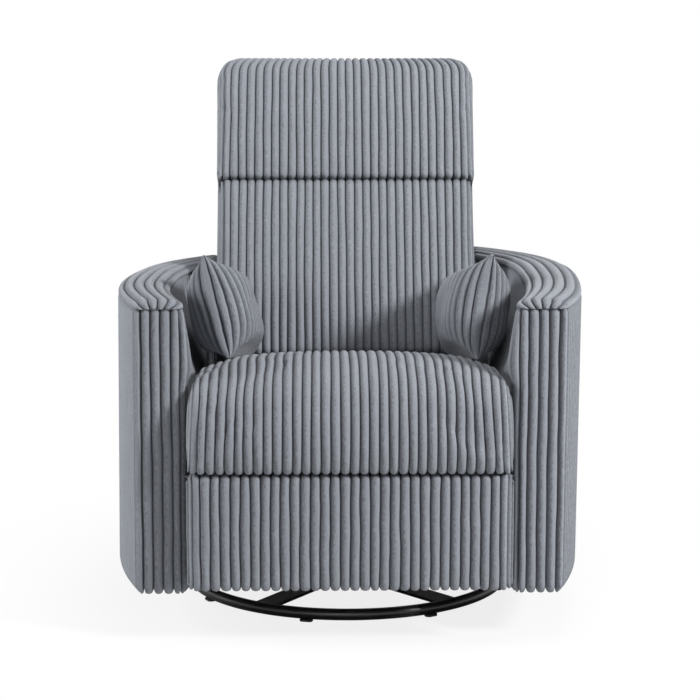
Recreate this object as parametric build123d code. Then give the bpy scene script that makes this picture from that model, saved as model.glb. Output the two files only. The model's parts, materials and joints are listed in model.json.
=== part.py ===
from build123d import *
import os
from math import asin, atan2, cos, degrees, hypot, pi, radians, sin, sqrt

# Swivel glider recliner with barrel arms, upholstered in wide-wale plush.
# Millimetres. +Z is up, the sitter faces -Y, and +X is the right-hand side of a view from the front.
# The origin is on the floor, on the swivel axis.

# ---------------------------------------------------------------- base ring
ring_radius = 310.0            # centre line of the ring on the floor
ring_tube_radius = 11.0
ring_tube_sides = 8            # the tube's section has a flat underneath for the pads
glide_lift = 4.0               # the ring's height over the floor
glide_pad_width = 16.0
glide_pad_length = 24.0
glide_pad_count = 8
glide_pad_first_angle = 30.0   # from the front, towards +X
bar_width = 45.0
bar_thickness = 6.0
bar_angles = (-33.0, 40.0)     # two flat bars, from the front, towards +X
bar_offset = 1.0               # the bars' middle over the ring's centre line

# ---------------------------------------------------------------- swivel
hub_plate_size = 170.0
race_outer_radius = 58.0
race_inner_radius = 42.0
race_sides = 24                # the moulded bearing ring has a flat for each of its segments
race_height = 7.0
king_radius = 12.0
king_head_width = 34.0         # across the flats of the hexagon head
king_head_height = 9.0
running_clearance = 0.1        # radial, a shaft in its bore
face_clearance = 0.3           # between faces that slide past each other

# ---------------------------------------------------------------- plates and pivots
plate = 4.0                    # steel thickness of every bracket and link
plate_gap = 3.0                # between the planes of neighbouring links
mechanism_set_in = 72.0        # from the seat's side to the first plane, the glider bracket's inner face
pivot_radius = 4.0
glide_pivot_radius = 5.0
head_width = 15.0              # across the flats of a pivot pin's head
head_thickness = 2.0
link_width = 22.0
glide_link_width = 26.4
tilt_link_width = 19.8

# ---------------------------------------------------------------- glider
channel_width = 34.0
channel_height = 20.0
channel_wall = 3.0
channel_spread = 90.0          # Y of the two channels
glide_pivot_spread = 110.0     # Y of the glide links
glide_top = 185.0              # Z of the fixed upper pivots
glide_length = 120.0
bracket_margin = 17.0          # steel around a glide pivot
bracket_waist = 62.0           # the glider bracket's half width over its foot

# ---------------------------------------------------------------- footrest linkage (forward, up)
drive_pivot = (319.0, 279.5)
drive_length = 175.5
drive_angle = -135.0
drive_crank = (30.3, 20.9)     # tilt-link eye in the drive link's frame, from its far pivot
rear_pivot = (233.5, 253.8)
coupler_length = 212.0
coupler_angle = 30.2
coupler_tail = (-86.7, 21.6)   # rear-link eye in the coupler's frame, from the drive link's eye
tilt_eye = (5.4, -45.9)        # tilt-link eye from the footrest's hinge
tilt_slot_travel = 5.1         # lost motion of the tilt link's pin, downwards
coupler_slack = 0.4            # extra radius of the rear link's far eye
torque_tube_width = 14.0       # square tube
torque_tube_wall = 2.0

# ---------------------------------------------------------------- seat box
rail_thickness = 22.0
rail_bottom = 300.0
rail_height = 45.0
rail_front = -395.0
rail_rear = 170.0
rear_rail_place = 100.0
side_plate_rear = 90.0
webbing_thickness = 2.0
webbing_width = 50.0
seat_strap_count = 4
seat_strap_pitch = 100.0

# ---------------------------------------------------------------- soft parts, shared
rib_pitch = 17.5               # wide-wale plush: one rib to the next
rib_depth = 6.0
seam_gap = 2.0                 # between two upholstered pieces that meet at a seam

roll_power = 2.4                # how square a stuffed roll is: 2 is a circle
pad_power = 5.0                 # the flatter face of a long pad
side_fall = 2.5                 # how late a crowned top falls towards its sides

# ---------------------------------------------------------------- seat cushion
seat_half_width = 288.0
seat_crest = 500.0
seat_crest_place = -372.0
seat_nose = -472.0
seat_nose_height = 395.0
seat_rear_height = 431.0
seat_rear_face = 95.0
seat_roll_back = 24.0          # how far the nose tucks back to the lower seam
seat_crown_drop = 22.0         # the top is this much lower at its sides
seat_side_radius = 24.0

# ---------------------------------------------------------------- footrest
footrest_bottom = 100.0
footrest_top = 311.5
footrest_depth = 50.0
board_front = -416.0
board_thickness = 12.0
board_margin = 8.0
footrest_side_radius = 20.0
bracket_flange = 32.0
bracket_flange_height = 120.0
bracket_drop = 26.4             # steel below the tilt link's pin

# ---------------------------------------------------------------- backrest, drawn upright and then leaned
lean = 22.0
recline_pivot = (150.0, 330.0)  # Y, Z of the recline hinge
recline_pin_radius = 6.0
recline_head_width = 19.0
stile_thickness = 24.0
stile_depth = 45.0
stile_bottom = 400.0
stile_top = 1040.0
stile_play = 1.0                # between a stile and its seat rail
cross_rail_depth = 22.0
cross_rail_height = 40.0
back_strap_count = 4
back_strap_pitch = 85.0
back_set_in = 20.0              # from the seat's side to the back's
back_seam = 824.0               # seam between the lumbar cushion and the headrest
back_bottom = 440.0
lumbar_depth = 122.0
lumbar_taper = 24.0             # the lumbar cushion thins by this much towards its top
headrest_lap = 4.0              # the headrest is this much wider than the back at each side
headrest_top = 1110.0
headrest_crest = 48.0           # how far the headrest's top lies in front of the frame
headrest_depth = 110.0
headrest_pinch = 20.0           # the headrest's lower edge draws in by this much
headrest_corner = 45.0
back_side_radius = 24.0
shell_wall = 4.0                # padded panels of the outer back
shell_drop = 15.0               # the outer back reaches this far below the stiles
recline_bracket_width = 31.0
recline_bracket_reach = 150.0

# ---------------------------------------------------------------- arms
arm_wall = 94.0
arm_front = -420.0
arm_front_lap = 2.0             # the arm's front end reaches in past its pad
arm_front_radius = 1930.0       # plan curve from the widest place to the front
arm_side_radius = 1000.0        # plan curve behind the widest place
arm_side_turn = 11.5
arm_rear_radius = 545.0         # plan curve round the back corner
arm_rear_lap = 16.0             # and so does its rear end
arm_bottom = 75.0
arm_front_height = 622.0
arm_rear_height = 652.0
arm_edge_radius = 38.0
arm_corner_radius = 31.0        # plan radius of the arm's two ends
arm_arc_steps = (3, 2, 6)       # flats along the three plan arcs
arm_roll_steps = 3              # flats round each rolled edge
arm_corner_turns = (0, 35, 65)  # where the flats of a rounded end meet
pad_gap = 4.0                   # between the seat and the arm
pad_reach = 58.0                # the inner pad's thickness, out to the arm's wall
pad_shoulder = 440.0
pad_top = 598.0
pad_front = -396.0
pad_rear = 284.0
arm_board_inset = 4.0
arm_board_thickness = 12.0
arm_board_front = -380.0
arm_board_rear = 262.0
arm_board_bottom = 90.0
arm_board_top = 430.0
arm_post_width = 66.0
arm_bracket_places = (-300.0, 60.0)
arm_bracket_width = 60.0
arm_bracket_height = 34.0
arm_bracket_bottom = 306.0

apron_bottom = 80.0             # upholstered panel across the rear, between the arms
apron_top = 336.0
apron_thickness = 12.0

# ---------------------------------------------------------------- throw pillows
pillow_length = 250.0
pillow_height = 194.0
pillow_thickness = 124.0
pillow_edge = 8.0               # thickness of the sewn edge all round
pillow_place = -58.0            # Y of both pillows
left_pillow_set_in = 45.0       # from the seat's side to the pillow's middle
right_pillow_set_in = 42.0
left_pillow_turn = (-14.0, 4.0)         # outward lean and turn about Z, in degrees
right_pillow_turn = (9.0, -3.0)


# ================================================================ derived places
bracket_plane = seat_half_width - mechanism_set_in
footrest_half_width = seat_half_width
back_half_width = seat_half_width - back_set_in
headrest_half_width = back_half_width + headrest_lap


def layer(number):
    """Inner face of one plane of steel, counted outwards from the glider bracket."""
    return bracket_plane + number * (plate + plate_gap)


BRACKET, GLIDE, CHASSIS, TILT, DRIVE, COUPLER = range(6)

ring_height = glide_lift + ring_tube_radius
bar_bottom = ring_height + bar_offset - bar_thickness / 2
hub_bottom = bar_bottom + bar_thickness
race_bottom = hub_bottom + plate + running_clearance
swivel_plate_bottom = race_bottom + race_height
channel_bottom = swivel_plate_bottom + plate
glide_bottom = glide_top - glide_length

rail_inner = layer(CHASSIS) + plate
rail_outer = rail_inner + rail_thickness
rail_top = rail_bottom + rail_height
seat_base = rail_top + webbing_thickness
seat_seam = footrest_top + seam_gap
board_rear = board_front + board_thickness
stile_outer = rail_outer + stile_play
stile_inner = stile_outer - stile_thickness
pad_inner = seat_half_width + pad_gap
arm_front_inner = pad_inner - arm_front_lap
arm_rear_inner = pad_inner - arm_rear_lap
arm_outer = pad_inner + pad_reach + arm_wall    # widest, at the swivel axis


def polar(origin, radius, angle):
    """A point at a radius and an angle in degrees from an origin."""
    return (origin[0] + radius * cos(radians(angle)), origin[1] + radius * sin(radians(angle)))


def turned(origin, offset, angle):
    """An offset turned by an angle in degrees and added to an origin."""
    c, s = cos(radians(angle)), sin(radians(angle))
    return (origin[0] + c * offset[0] - s * offset[1], origin[1] + s * offset[0] + c * offset[1])


drive_eye = polar(drive_pivot, drive_length, drive_angle)
footrest_hinge = polar(drive_eye, coupler_length, coupler_angle)
rear_eye = turned(drive_eye, coupler_tail, coupler_angle)
crank_eye = turned(drive_eye, drive_crank, drive_angle)
tilt_pin = (footrest_hinge[0] + tilt_eye[0], footrest_hinge[1] + tilt_eye[1])


# ================================================================ shape helpers
def side_plane(x):
    """A plane across X, whose own axes are +Y and +Z."""
    return Plane(origin=(x, 0, 0), x_dir=(0, 1, 0), z_dir=(1, 0, 0))


def slab(face, start, thickness):
    """A face drawn in Y and Z, made solid from X = start."""
    return extrude(side_plane(start) * face, thickness)


def block(x, y, z):
    """A box from three (low, high) pairs."""
    size = [high - low for low, high in (x, y, z)]
    return Pos(x[0], y[0], z[0]) * Box(*size, align=(Align.MIN, Align.MIN, Align.MIN))


def place(forward_up):
    """Y and Z of a point that is given forwards and up."""
    return (-forward_up[0], forward_up[1])


def bar_face(start, end, width):
    """A flat bar with round ends about two points."""
    run = (end[0] - start[0], end[1] - start[1])
    middle = ((start[0] + end[0]) / 2, (start[1] + end[1]) / 2)
    slot = SlotCenterToCenter(hypot(*run), width)
    return Pos(*middle) * Rot(0, 0, degrees(atan2(run[1], run[0]))) * slot


def hole(point, radius):
    """A round face at a point."""
    return Pos(*point) * Circle(radius)


def rod(point, radius, start, end):
    """A round bar along X."""
    return slab(hole(point, radius), start, end - start)


def hexagon(point, width):
    """A hexagon face of a given width across its flats."""
    return Pos(*point) * RegularPolygon(width / 2, 6, major_radius=False)


def pivot_pin(point, radius, fixed, free):
    """A headed stud welded on the plate of one plane that carries a plate of another."""
    head = hexagon(point, head_width)
    if free > fixed:
        end = layer(free) + plate + face_clearance
        return rod(point, radius, layer(fixed) + plate, end) + slab(head, end, head_thickness)
    end = layer(free) - face_clearance
    return rod(point, radius, end, layer(fixed)) + slab(head, end - head_thickness, head_thickness)


def mirrored(shape):
    """The same piece on the other side of the chair."""
    return mirror(shape, Plane.YZ)


def both(shapes):
    """A group of pieces with their mirror images."""
    return Compound(list(shapes) + [mirrored(shape) for shape in shapes])


def leaned(shape):
    """A piece of the backrest, from upright to its lean at rest."""
    return Rot(-lean, 0, 0) * shape


# ================================================================ base
def base_ring():
    section = RegularPolygon(ring_tube_radius, ring_tube_sides, major_radius=False)
    section = Plane.XZ * Pos(ring_radius, ring_height) * Rot(0, 0, 180 / ring_tube_sides) * section
    return revolve(section, Axis.Z)


def bar_direction(angle, radius):
    return (radius * sin(radians(angle)), -radius * cos(radians(angle)))


def cross_bars():
    """Two flat bars welded across each other, their ends cut to the ring."""
    bars = Part()
    for angle in bar_angles:
        bar = Box(bar_width, 2 * ring_radius, bar_thickness, align=(Align.CENTER, Align.CENTER, Align.MIN))
        bars += Pos(0, 0, bar_bottom) * Rot(0, 0, angle) * bar
    return bars - base_ring()


def floor_glides():
    """Small pads under the ring."""
    long, wide = glide_pad_length / 2, glide_pad_width / 2
    pad = block((-long, long), (-wide, wide), (0, glide_lift))
    pad = chamfer(pad.edges().filter_by(Axis.Z), wide / 2)
    pads = []
    for number in range(glide_pad_count):
        angle = glide_pad_first_angle + number * 360 / glide_pad_count
        x, y = bar_direction(angle, ring_radius)
        pads.append(Pos(x, y, 0) * Rot(0, 0, angle) * pad)
    return Compound(pads)


def upright(radius, bottom, top):
    """A round solid on the swivel axis."""
    return Pos(0, 0, bottom) * Cylinder(radius, top - bottom, align=(Align.CENTER, Align.CENTER, Align.MIN))


def square_plate(bottom):
    edge = hub_plate_size / 2
    sheet = block((-edge, edge), (-edge, edge), (bottom, bottom + plate))
    return chamfer(sheet.edges().filter_by(Axis.Z), 2 * plate)


def hub_plate():
    """Lower swivel plate, welded on the cross bars."""
    return square_plate(hub_bottom)


def king_pin():
    """The headed stud that the chair turns on."""
    neck = channel_bottom + face_clearance
    head = extrude(hexagon((0, 0), king_head_width), king_head_height)
    return upright(king_radius, hub_bottom + plate, neck) + Pos(0, 0, neck) * head


# ================================================================ swivel and glider
def thrust_washer():
    """The ring of the turning bearing between the two plates."""
    face = RegularPolygon(race_outer_radius, race_sides) - RegularPolygon(race_inner_radius, race_sides)
    return extrude(Pos(0, 0, race_bottom) * face, race_height)


def swivel_plate():
    bore = upright(king_radius + running_clearance, swivel_plate_bottom, channel_bottom)
    return square_plate(swivel_plate_bottom) - bore


def glider_channel(y):
    """An open-bottomed channel that ties the two glider brackets together."""
    half, wall = channel_width / 2, channel_wall
    low, high = channel_bottom, channel_bottom + channel_height
    face = Polyline(
        (y - half, low), (y - half, high), (y + half, high), (y + half, low),
        (y + half - wall, low), (y + half - wall, high - wall), (y - half + wall, high - wall),
        (y - half + wall, low), close=True,
    )
    return slab(make_face(face), -bracket_plane, 2 * bracket_plane)


def glider_channels():
    return Compound([glider_channel(-channel_spread), glider_channel(channel_spread)])


def glider_bracket():
    """Side plate whose upper corners carry the glide links."""
    reach = glide_pivot_spread + bracket_margin
    foot = channel_spread + channel_width / 2
    outline = Polyline(
        (-foot, channel_bottom), (foot, channel_bottom), (foot, channel_bottom + channel_height),
        (bracket_waist, channel_bottom + 3 * channel_height), (reach, glide_top - bracket_margin),
        (reach, glide_top + bracket_margin), (-reach, glide_top + bracket_margin),
        (-reach, glide_top - bracket_margin), (-bracket_waist, channel_bottom + 3 * channel_height),
        (-foot, channel_bottom + channel_height), close=True,
    )
    return slab(make_face(outline), layer(BRACKET), plate)


def glide_hanger_pins():
    pins = [pivot_pin((y, glide_top), glide_pivot_radius, BRACKET, GLIDE)
            for y in (-glide_pivot_spread, glide_pivot_spread)]
    return both(pins)


def glide_link(y):
    """A hanging strap with clipped corners and an eye at each end."""
    eye = glide_pivot_radius + running_clearance
    half = glide_link_width / 2
    bar = block((layer(GLIDE), layer(GLIDE) + plate), (y - half, y + half),
                (glide_bottom - half, glide_top + half))
    bar = chamfer(bar.edges().filter_by(Axis.X), half / 2)
    for z in (glide_top, glide_bottom):
        bar -= rod((y, z), eye, layer(GLIDE), layer(GLIDE) + plate)
    return bar


# ================================================================ seat box
def side_plate():
    """Chassis plate: hangs on the glide links and carries the footrest linkage and the seat box."""
    outline = Polyline(
        (-glide_pivot_spread - bracket_margin, glide_bottom - bracket_margin),
        (glide_pivot_spread + bracket_margin, glide_bottom - bracket_margin),
        (glide_pivot_spread + bracket_margin, glide_bottom + bracket_margin),
        (side_plate_rear, glide_top), (side_plate_rear, rail_top),
        (-drive_pivot[0] - link_width, rail_top),
        (-drive_pivot[0] - link_width, drive_pivot[1] - link_width),
        (-rear_pivot[0] - link_width, rear_pivot[1] - 2 * link_width),
        (-glide_pivot_spread - bracket_margin, glide_bottom + bracket_margin), close=True,
    )
    bearing = torque_tube_width / sqrt(2) + running_clearance
    return slab(make_face(outline) - hole(place(drive_pivot), bearing), layer(CHASSIS), plate)


def glide_shoe_pins():
    pins = [pivot_pin((y, glide_bottom), glide_pivot_radius, CHASSIS, GLIDE)
            for y in (-glide_pivot_spread, glide_pivot_spread)]
    return both(pins)


def rear_link_pins():
    return both([pivot_pin(place(rear_pivot), pivot_radius, CHASSIS, DRIVE)])


def seat_side_rail():
    rail = block((rail_inner, rail_outer), (rail_front, rail_rear), (rail_bottom, rail_top))
    return rail - rod(recline_pivot, recline_pin_radius, rail_inner, rail_outer)


def seat_cross_rail(front):
    return block((-rail_inner, rail_inner), (front, front + rail_thickness), (rail_bottom, rail_top))


def seat_webbing():
    """Straps from the front rail to the rear rail."""
    straps = []
    first = -seat_strap_pitch * (seat_strap_count - 1) / 2
    for number in range(seat_strap_count):
        middle = first + number * seat_strap_pitch
        straps.append(block((middle - webbing_width / 2, middle + webbing_width / 2),
                            (rail_front, rear_rail_place + rail_thickness), (rail_top, seat_base)))
    return Compound(straps)


def recline_pins():
    """Headed pins through the seat rails that the backrest hangs on."""
    end = stile_outer + plate + face_clearance
    pin = rod(recline_pivot, recline_pin_radius, rail_inner, end)
    return both([pin + slab(hexagon(recline_pivot, recline_head_width), end, head_thickness)])


# ================================================================ footrest linkage
def link_plate(points, eyes, number, width=link_width):
    """A flat link through several points, with holes at some of them."""
    face = Sketch()
    for start, end in zip(points, points[1:]):
        face += bar_face(place(start), place(end), width)
    for point, radius in eyes:
        face -= hole(place(point), radius)
    return slab(face, layer(number), plate)


def torque_section(width):
    """The torque tube's square outline, in line with the drive link."""
    return Pos(*place(drive_pivot)) * Rot(0, 0, -drive_angle) * Rectangle(width, width)


def drive_link():
    """Bell crank that the torque tube's square end turns."""
    eye = pivot_radius + running_clearance
    link = link_plate((drive_pivot, drive_eye, crank_eye), ((drive_eye, eye), (crank_eye, eye)), DRIVE)
    return link - slab(torque_section(torque_tube_width), layer(DRIVE), plate)


def torque_tube():
    """The square tube that turns both drive links together."""
    face = torque_section(torque_tube_width) - torque_section(torque_tube_width - 2 * torque_tube_wall)
    end = layer(DRIVE) + plate
    return slab(face, -end, 2 * end)


def rear_link():
    eye = pivot_radius + running_clearance
    return link_plate((rear_pivot, rear_eye), ((rear_pivot, eye), (rear_eye, eye + coupler_slack)), DRIVE)


def coupler_link():
    return link_plate((rear_eye, drive_eye, footrest_hinge), (), COUPLER)


def coupler_pins():
    points = (rear_eye, drive_eye, footrest_hinge)
    return both([pivot_pin(place(point), pivot_radius, COUPLER, DRIVE) for point in points])


def tilt_link():
    return link_plate((crank_eye, tilt_pin), (), TILT, tilt_link_width)


def tilt_pins():
    return both([pivot_pin(place(point), pivot_radius, TILT, DRIVE) for point in (crank_eye, tilt_pin)])


def footrest_bracket():
    """Angle bracket on the board: an eye for the coupler and a slot for the tilt link's pin."""
    hinge, pin = place(footrest_hinge), place(tilt_pin)
    eye = pivot_radius + running_clearance
    low, high = pin[1] - bracket_drop, hinge[1] + link_width / 2
    cheek = make_face(Polyline((board_rear, low), (board_rear, high), (hinge[0], high), (hinge[0], low),
                               close=True))
    cheek += hole(hinge, link_width / 2)
    cheek += bar_face(hinge, (hinge[0], low + link_width / 2), link_width)
    cheek &= make_face(Polyline((board_rear, low), (board_rear, high), (hinge[0] + link_width, high),
                                (hinge[0] + link_width, low), close=True))
    cheek -= hole(hinge, eye)
    slot_end = (pin[0], pin[1] - tilt_slot_travel)
    cheek -= bar_face(pin, slot_end, 2 * (eye + coupler_slack))
    plate_solid = slab(cheek, layer(DRIVE), plate)
    middle = (low + high) / 2
    flange = block((layer(DRIVE) - bracket_flange, layer(DRIVE)), (board_rear, board_rear + plate / 2),
                   (middle - bracket_flange_height / 2, middle + bracket_flange_height / 2))
    return plate_solid + flange


def footrest_board():
    half = footrest_half_width - footrest_side_radius
    return block((-half, half), (board_front, board_rear),
                 (footrest_bottom + board_margin, footrest_top - board_margin))


# ================================================================ upholstery
def superellipse(fraction, power):
    """Sine and cosine of a quarter turn, squared off by a power."""
    angle = fraction * pi / 2
    return sin(angle) ** (2 / power), cos(angle) ** (2 / power)


def drawn_in(x, half_width, radius):
    """How far a face pulls in near the sides, along a quarter circle."""
    over = max(0.0, abs(x) - (half_width - radius))
    return radius - sqrt(max(0.0, radius ** 2 - over ** 2))


def crowned(x, half_width, crown):
    """How far a crowned face has dropped from its middle."""
    return crown * (abs(x) / half_width) ** side_fall


def rib_stations(half_width):
    """Places across a cushion with the dip at each: a valley, then the crest of a rib."""
    count = round(2 * half_width / rib_pitch)
    pitch = 2 * half_width / count
    return [(step * pitch / 2 - half_width, rib_depth * (1 - step % 2)) for step in range(2 * count + 1)]


def edge_shift(start, end, front, top):
    """Inward normal of an outline's edge, and how far the edge moves along it."""
    run = hypot(end[0] - start[0], end[1] - start[1])
    normal = ((end[1] - start[1]) / run, (start[0] - end[0]) / run)
    return normal, front * normal[0] ** 2 + top * normal[1] ** 2


def inset(base, curve, front, top):
    """A closed clockwise outline whose curve's edges are moved inwards and whose base stays in line."""
    points = base + curve
    count = len(points)
    shifts = []
    for number, start in enumerate(points):
        on_curve = len(base) <= number < count - 1
        end = points[(number + 1) % count]
        shifts.append(edge_shift(start, end, front if on_curve else 0.0, top if on_curve else 0.0))
    moved = []
    for number, (y, z) in enumerate(points):
        (before, before_shift), (after, after_shift) = shifts[number - 1], shifts[number]
        turn = before[0] * after[1] - before[1] * after[0]
        moved.append((y + (before_shift * after[1] - after_shift * before[1]) / turn,
                      z + (after_shift * before[0] - before_shift * after[0]) / turn))
    return moved


def ribbed_cushion(half_width, side_radius, top_radius, outline, crown=0.0):
    """A cushion of flat strips across X between its rib stations, lower at its sides by crown.

    The outline is a closed base and an open face curve."""
    base, curve = outline
    loops = []
    for x, dip in rib_stations(half_width):
        front = dip + drawn_in(x, half_width, side_radius)
        top = dip + drawn_in(x, half_width, top_radius) + crowned(x, half_width, crown)
        loops.append([(x, y, z) for y, z in inset(base, curve, front, top)])
    faces = [flat_face(loops[0]), flat_face(loops[-1])]
    for loop, beyond in zip(loops, loops[1:]):
        for number in range(len(loop)):
            faces.append(flat_face([loop[number - 1], loop[number], beyond[number], beyond[number - 1]]))
    return Solid(Shell(faces))


def flat_face(corners):
    return Face(Wire.make_polygon([Vector(*corner) for corner in corners]))


def seat_crest_height(y):
    """Height of the seat's crest behind its front roll, along its middle."""
    share = (seat_rear_face - y) / (seat_rear_face - seat_crest_place)
    return seat_rear_height + (seat_crest - seat_rear_height) * sin(pi / 2 * share)


def seat_outline():
    under = seat_nose + seat_roll_back
    base = [(seat_rear_face, seat_base), (rail_front, seat_base), (rail_front, seat_seam)]
    s, c = superellipse(2 / 3, roll_power)
    curve = [(under, seat_seam),
             (under - seat_roll_back * s, seat_nose_height - (seat_nose_height - seat_seam) * c)]
    for step in range(0, 4):
        s, c = superellipse(step / 4, roll_power)
        curve.append((seat_crest_place - (seat_crest_place - seat_nose) * c,
                      seat_nose_height + (seat_crest - seat_nose_height) * s))
    for step in range(0, 4):
        y = seat_crest_place + (seat_rear_face - seat_crest_place) * step / 3
        curve.append((y, seat_crest_height(y)))
    return base, curve


def seat_cushion():
    return ribbed_cushion(seat_half_width, seat_side_radius, seat_side_radius / 2, seat_outline(),
                          seat_crown_drop)


def half_round(bottom, top, back, depth, steps, taper=0.0):
    """A crowned face curve from its lower seam to its upper one, thinner by taper at the top."""
    middle, half = (bottom + top) / 2, (top - bottom) / 2
    curve = []
    for step in range(-steps, steps + 1):
        s, c = superellipse(abs(step) / steps, pad_power)
        share = s if step > 0 else -s
        reach = depth - taper * (1 + share) / 2
        curve.append((back - reach * c, middle + half * share))
    return curve


def footrest_outline():
    return [], half_round(footrest_bottom, footrest_top, board_front, footrest_depth, 3)


def footrest_cushion():
    return ribbed_cushion(footrest_half_width, footrest_side_radius, footrest_side_radius / 2,
                          footrest_outline())


def lumbar_outline():
    top = back_seam - seam_gap / 2
    return [], half_round(back_bottom, top, -webbing_thickness, lumbar_depth, 4, lumbar_taper)


def lumbar_cushion():
    return leaned(ribbed_cushion(back_half_width, back_side_radius, back_side_radius / 2, lumbar_outline()))


def headrest_outline():
    """The headrest folds over the top of the frame to the rear."""
    low, ledge = back_seam + seam_gap / 2, stile_top
    rear = stile_depth + 2 * shell_wall
    pinch = -headrest_depth + headrest_pinch
    base = [(-webbing_thickness, ledge), (-webbing_thickness, low)]
    shoulder = (low + headrest_top) / 2
    curve = [(pinch, low)]
    for step in range(1, 3):
        s, c = superellipse(step / 3, roll_power)
        curve.append((pinch - headrest_pinch * s, shoulder - (shoulder - low) * c))
    for step in range(0, 4):
        s, c = superellipse(step / 4, roll_power)
        curve.append((-headrest_crest - (headrest_depth - headrest_crest) * c,
                      shoulder + (headrest_top - shoulder) * s))
    for step in range(4, 1, -1):
        s, c = superellipse(step / 4, roll_power)
        curve.append((-headrest_crest + (headrest_crest + rear) * c, ledge + (headrest_top - ledge) * s))
    return base, curve + [(rear, ledge)]


def headrest_cushion():
    return leaned(ribbed_cushion(headrest_half_width, back_side_radius, headrest_corner, headrest_outline()))


# ================================================================ backrest frame
def recline_pivot_upright():
    """Depth and height of the recline hinge before the back is leaned."""
    y, z = recline_pivot
    c, s = cos(radians(lean)), sin(radians(lean))
    return (y * c - z * s, y * s + z * c)


def back_stile():
    return leaned(block((stile_inner, stile_outer), (0, stile_depth), (stile_bottom, stile_top)))


def back_cross_rails():
    rails = []
    for bottom in (stile_bottom, back_seam - cross_rail_height / 2, stile_top - cross_rail_height):
        rails.append(leaned(block((-stile_inner, stile_inner), (0, cross_rail_depth),
                                  (bottom, bottom + cross_rail_height))))
    return Compound(rails)


def back_webbing():
    """Straps across the two stiles, behind the lumbar cushion."""
    straps = []
    first = stile_bottom + cross_rail_height + webbing_width / 2
    for number in range(back_strap_count):
        bottom = first + number * back_strap_pitch
        straps.append(leaned(block((-stile_outer, stile_outer), (-webbing_thickness, 0),
                                   (bottom, bottom + webbing_width))))
    return Compound(straps)


def outer_back():
    """Padded panels over the sides and the rear of the frame."""
    height = (stile_bottom - shell_drop, stile_top)
    inner = back_half_width - shell_wall
    rear = block((-back_half_width, back_half_width), (stile_depth, stile_depth + shell_wall), height)
    side = block((inner, back_half_width), (0, stile_depth), height)
    return Compound([leaned(panel) for panel in (rear, side, mirrored(side))])


def recline_bracket():
    """Strap plate bolted to a stile, hinged on the seat rail's pin."""
    pivot = recline_pivot_upright()
    half = recline_bracket_width / 2
    top = (stile_depth / 2, pivot[1] + recline_bracket_reach)
    face = bar_face(pivot, top, recline_bracket_width)
    face -= hole(pivot, recline_pin_radius + running_clearance)
    return leaned(slab(face, stile_outer, plate))


# ================================================================ arms
def arm_arcs(offset, front_radius):
    """The three tangent plan arcs of one side of the arm: centre, radius, first and last angle."""
    widest = arm_outer - offset
    front_centre = (widest - front_radius, 0.0)
    side_centre = (arm_outer - arm_side_radius, 0.0)
    rear_centre = polar(side_centre, arm_side_radius - arm_rear_radius, arm_side_turn)
    rear_radius = arm_rear_radius - offset
    reach = arm_rear_inner - rear_centre[0]
    rear_turn = degrees(atan2(sqrt(rear_radius ** 2 - reach ** 2), reach))
    return ((front_centre, front_radius, degrees(asin(arm_front / front_radius)), 0.0),
            (side_centre, arm_side_radius - offset, 0.0, arm_side_turn),
            (rear_centre, rear_radius, arm_side_turn, rear_turn))


def arc_point(arc, share):
    centre, radius, first, last = arc
    return polar(centre, radius, first + (last - first) * share)


def arm_stations():
    """Outer and inner plan points from the arm's front to its rear, with the inset of its rounded ends."""
    arcs = list(zip(arm_arcs(0.0, arm_front_radius), arm_arcs(arm_wall, arm_inner_radius()), arm_arc_steps))
    turns = [radians(angle) for angle in arm_corner_turns]
    rounds = [(arm_corner_radius * (1 - cos(turn)), arm_corner_radius * (1 - sin(turn))) for turn in turns]
    rounds.append((arm_corner_radius, 0.0))
    stations = []
    for number, (outer, inner, steps) in enumerate(arcs):
        length = outer[1] * radians(outer[3] - outer[2])
        first, last = 0.0, 1.0
        if number == 0:
            stations += [(outer, inner, run / length, dip) for run, dip in rounds]
            first = arm_corner_radius / length
        if number == len(arcs) - 1:
            last = 1 - arm_corner_radius / length
        stations += [(outer, inner, first + (last - first) * step / steps, 0.0)
                     for step in range(1, steps + 1)]
    stations += [(outer, inner, 1 - run / length, dip) for run, dip in reversed(rounds[:-1])]
    return [(arc_point(outer, share), arc_point(inner, share), dip) for outer, inner, share, dip in stations]


def arm_inner_radius():
    """Plan radius that brings the inner side from the wall's thickness to its place at the front."""
    swing = arm_outer - arm_wall - arm_front_inner
    return (arm_front ** 2 + swing ** 2) / (2 * swing)


def arm_section(width, height):
    """Upright section of the arm's wall: two sides and a rolled top, from the outer side to the inner."""
    outer_roll, inner_roll = [], []
    for step in range(arm_roll_steps + 1):
        turn = radians(90 * step / arm_roll_steps)
        z = height - arm_edge_radius * (1 - sin(turn))
        outer_roll.append((arm_edge_radius * (1 - cos(turn)), z))
        inner_roll.append((width - arm_edge_radius * (1 - cos(turn)), z))
    return [(0.0, arm_bottom)] + outer_roll + inner_roll[::-1] + [(width, arm_bottom)]


def arm_wall_solid():
    """The curved wall of a barrel arm, lofted through upright sections along its plan curve."""
    wires = []
    depth = arm_rear_depth() - arm_front
    for outer, inner, dip in arm_stations():
        run = (inner[0] - outer[0], inner[1] - outer[1])
        width = hypot(*run)
        height = arm_front_height + (arm_rear_height - arm_front_height) * (outer[1] - arm_front) / depth
        corners = [(outer[0] + run[0] * across / width, outer[1] + run[1] * across / width, z)
                   for across, z in inset([], arm_section(width, height), dip, dip)]
        wires.append(Wire(Polyline(*corners, close=True).edges()))
    return Solid.make_loft(wires, ruled=True)


def arm_rear_depth():
    """Y of the outer side's rear end."""
    return arc_point(arm_arcs(0.0, arm_front_radius)[-1], 1.0)[1]


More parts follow.
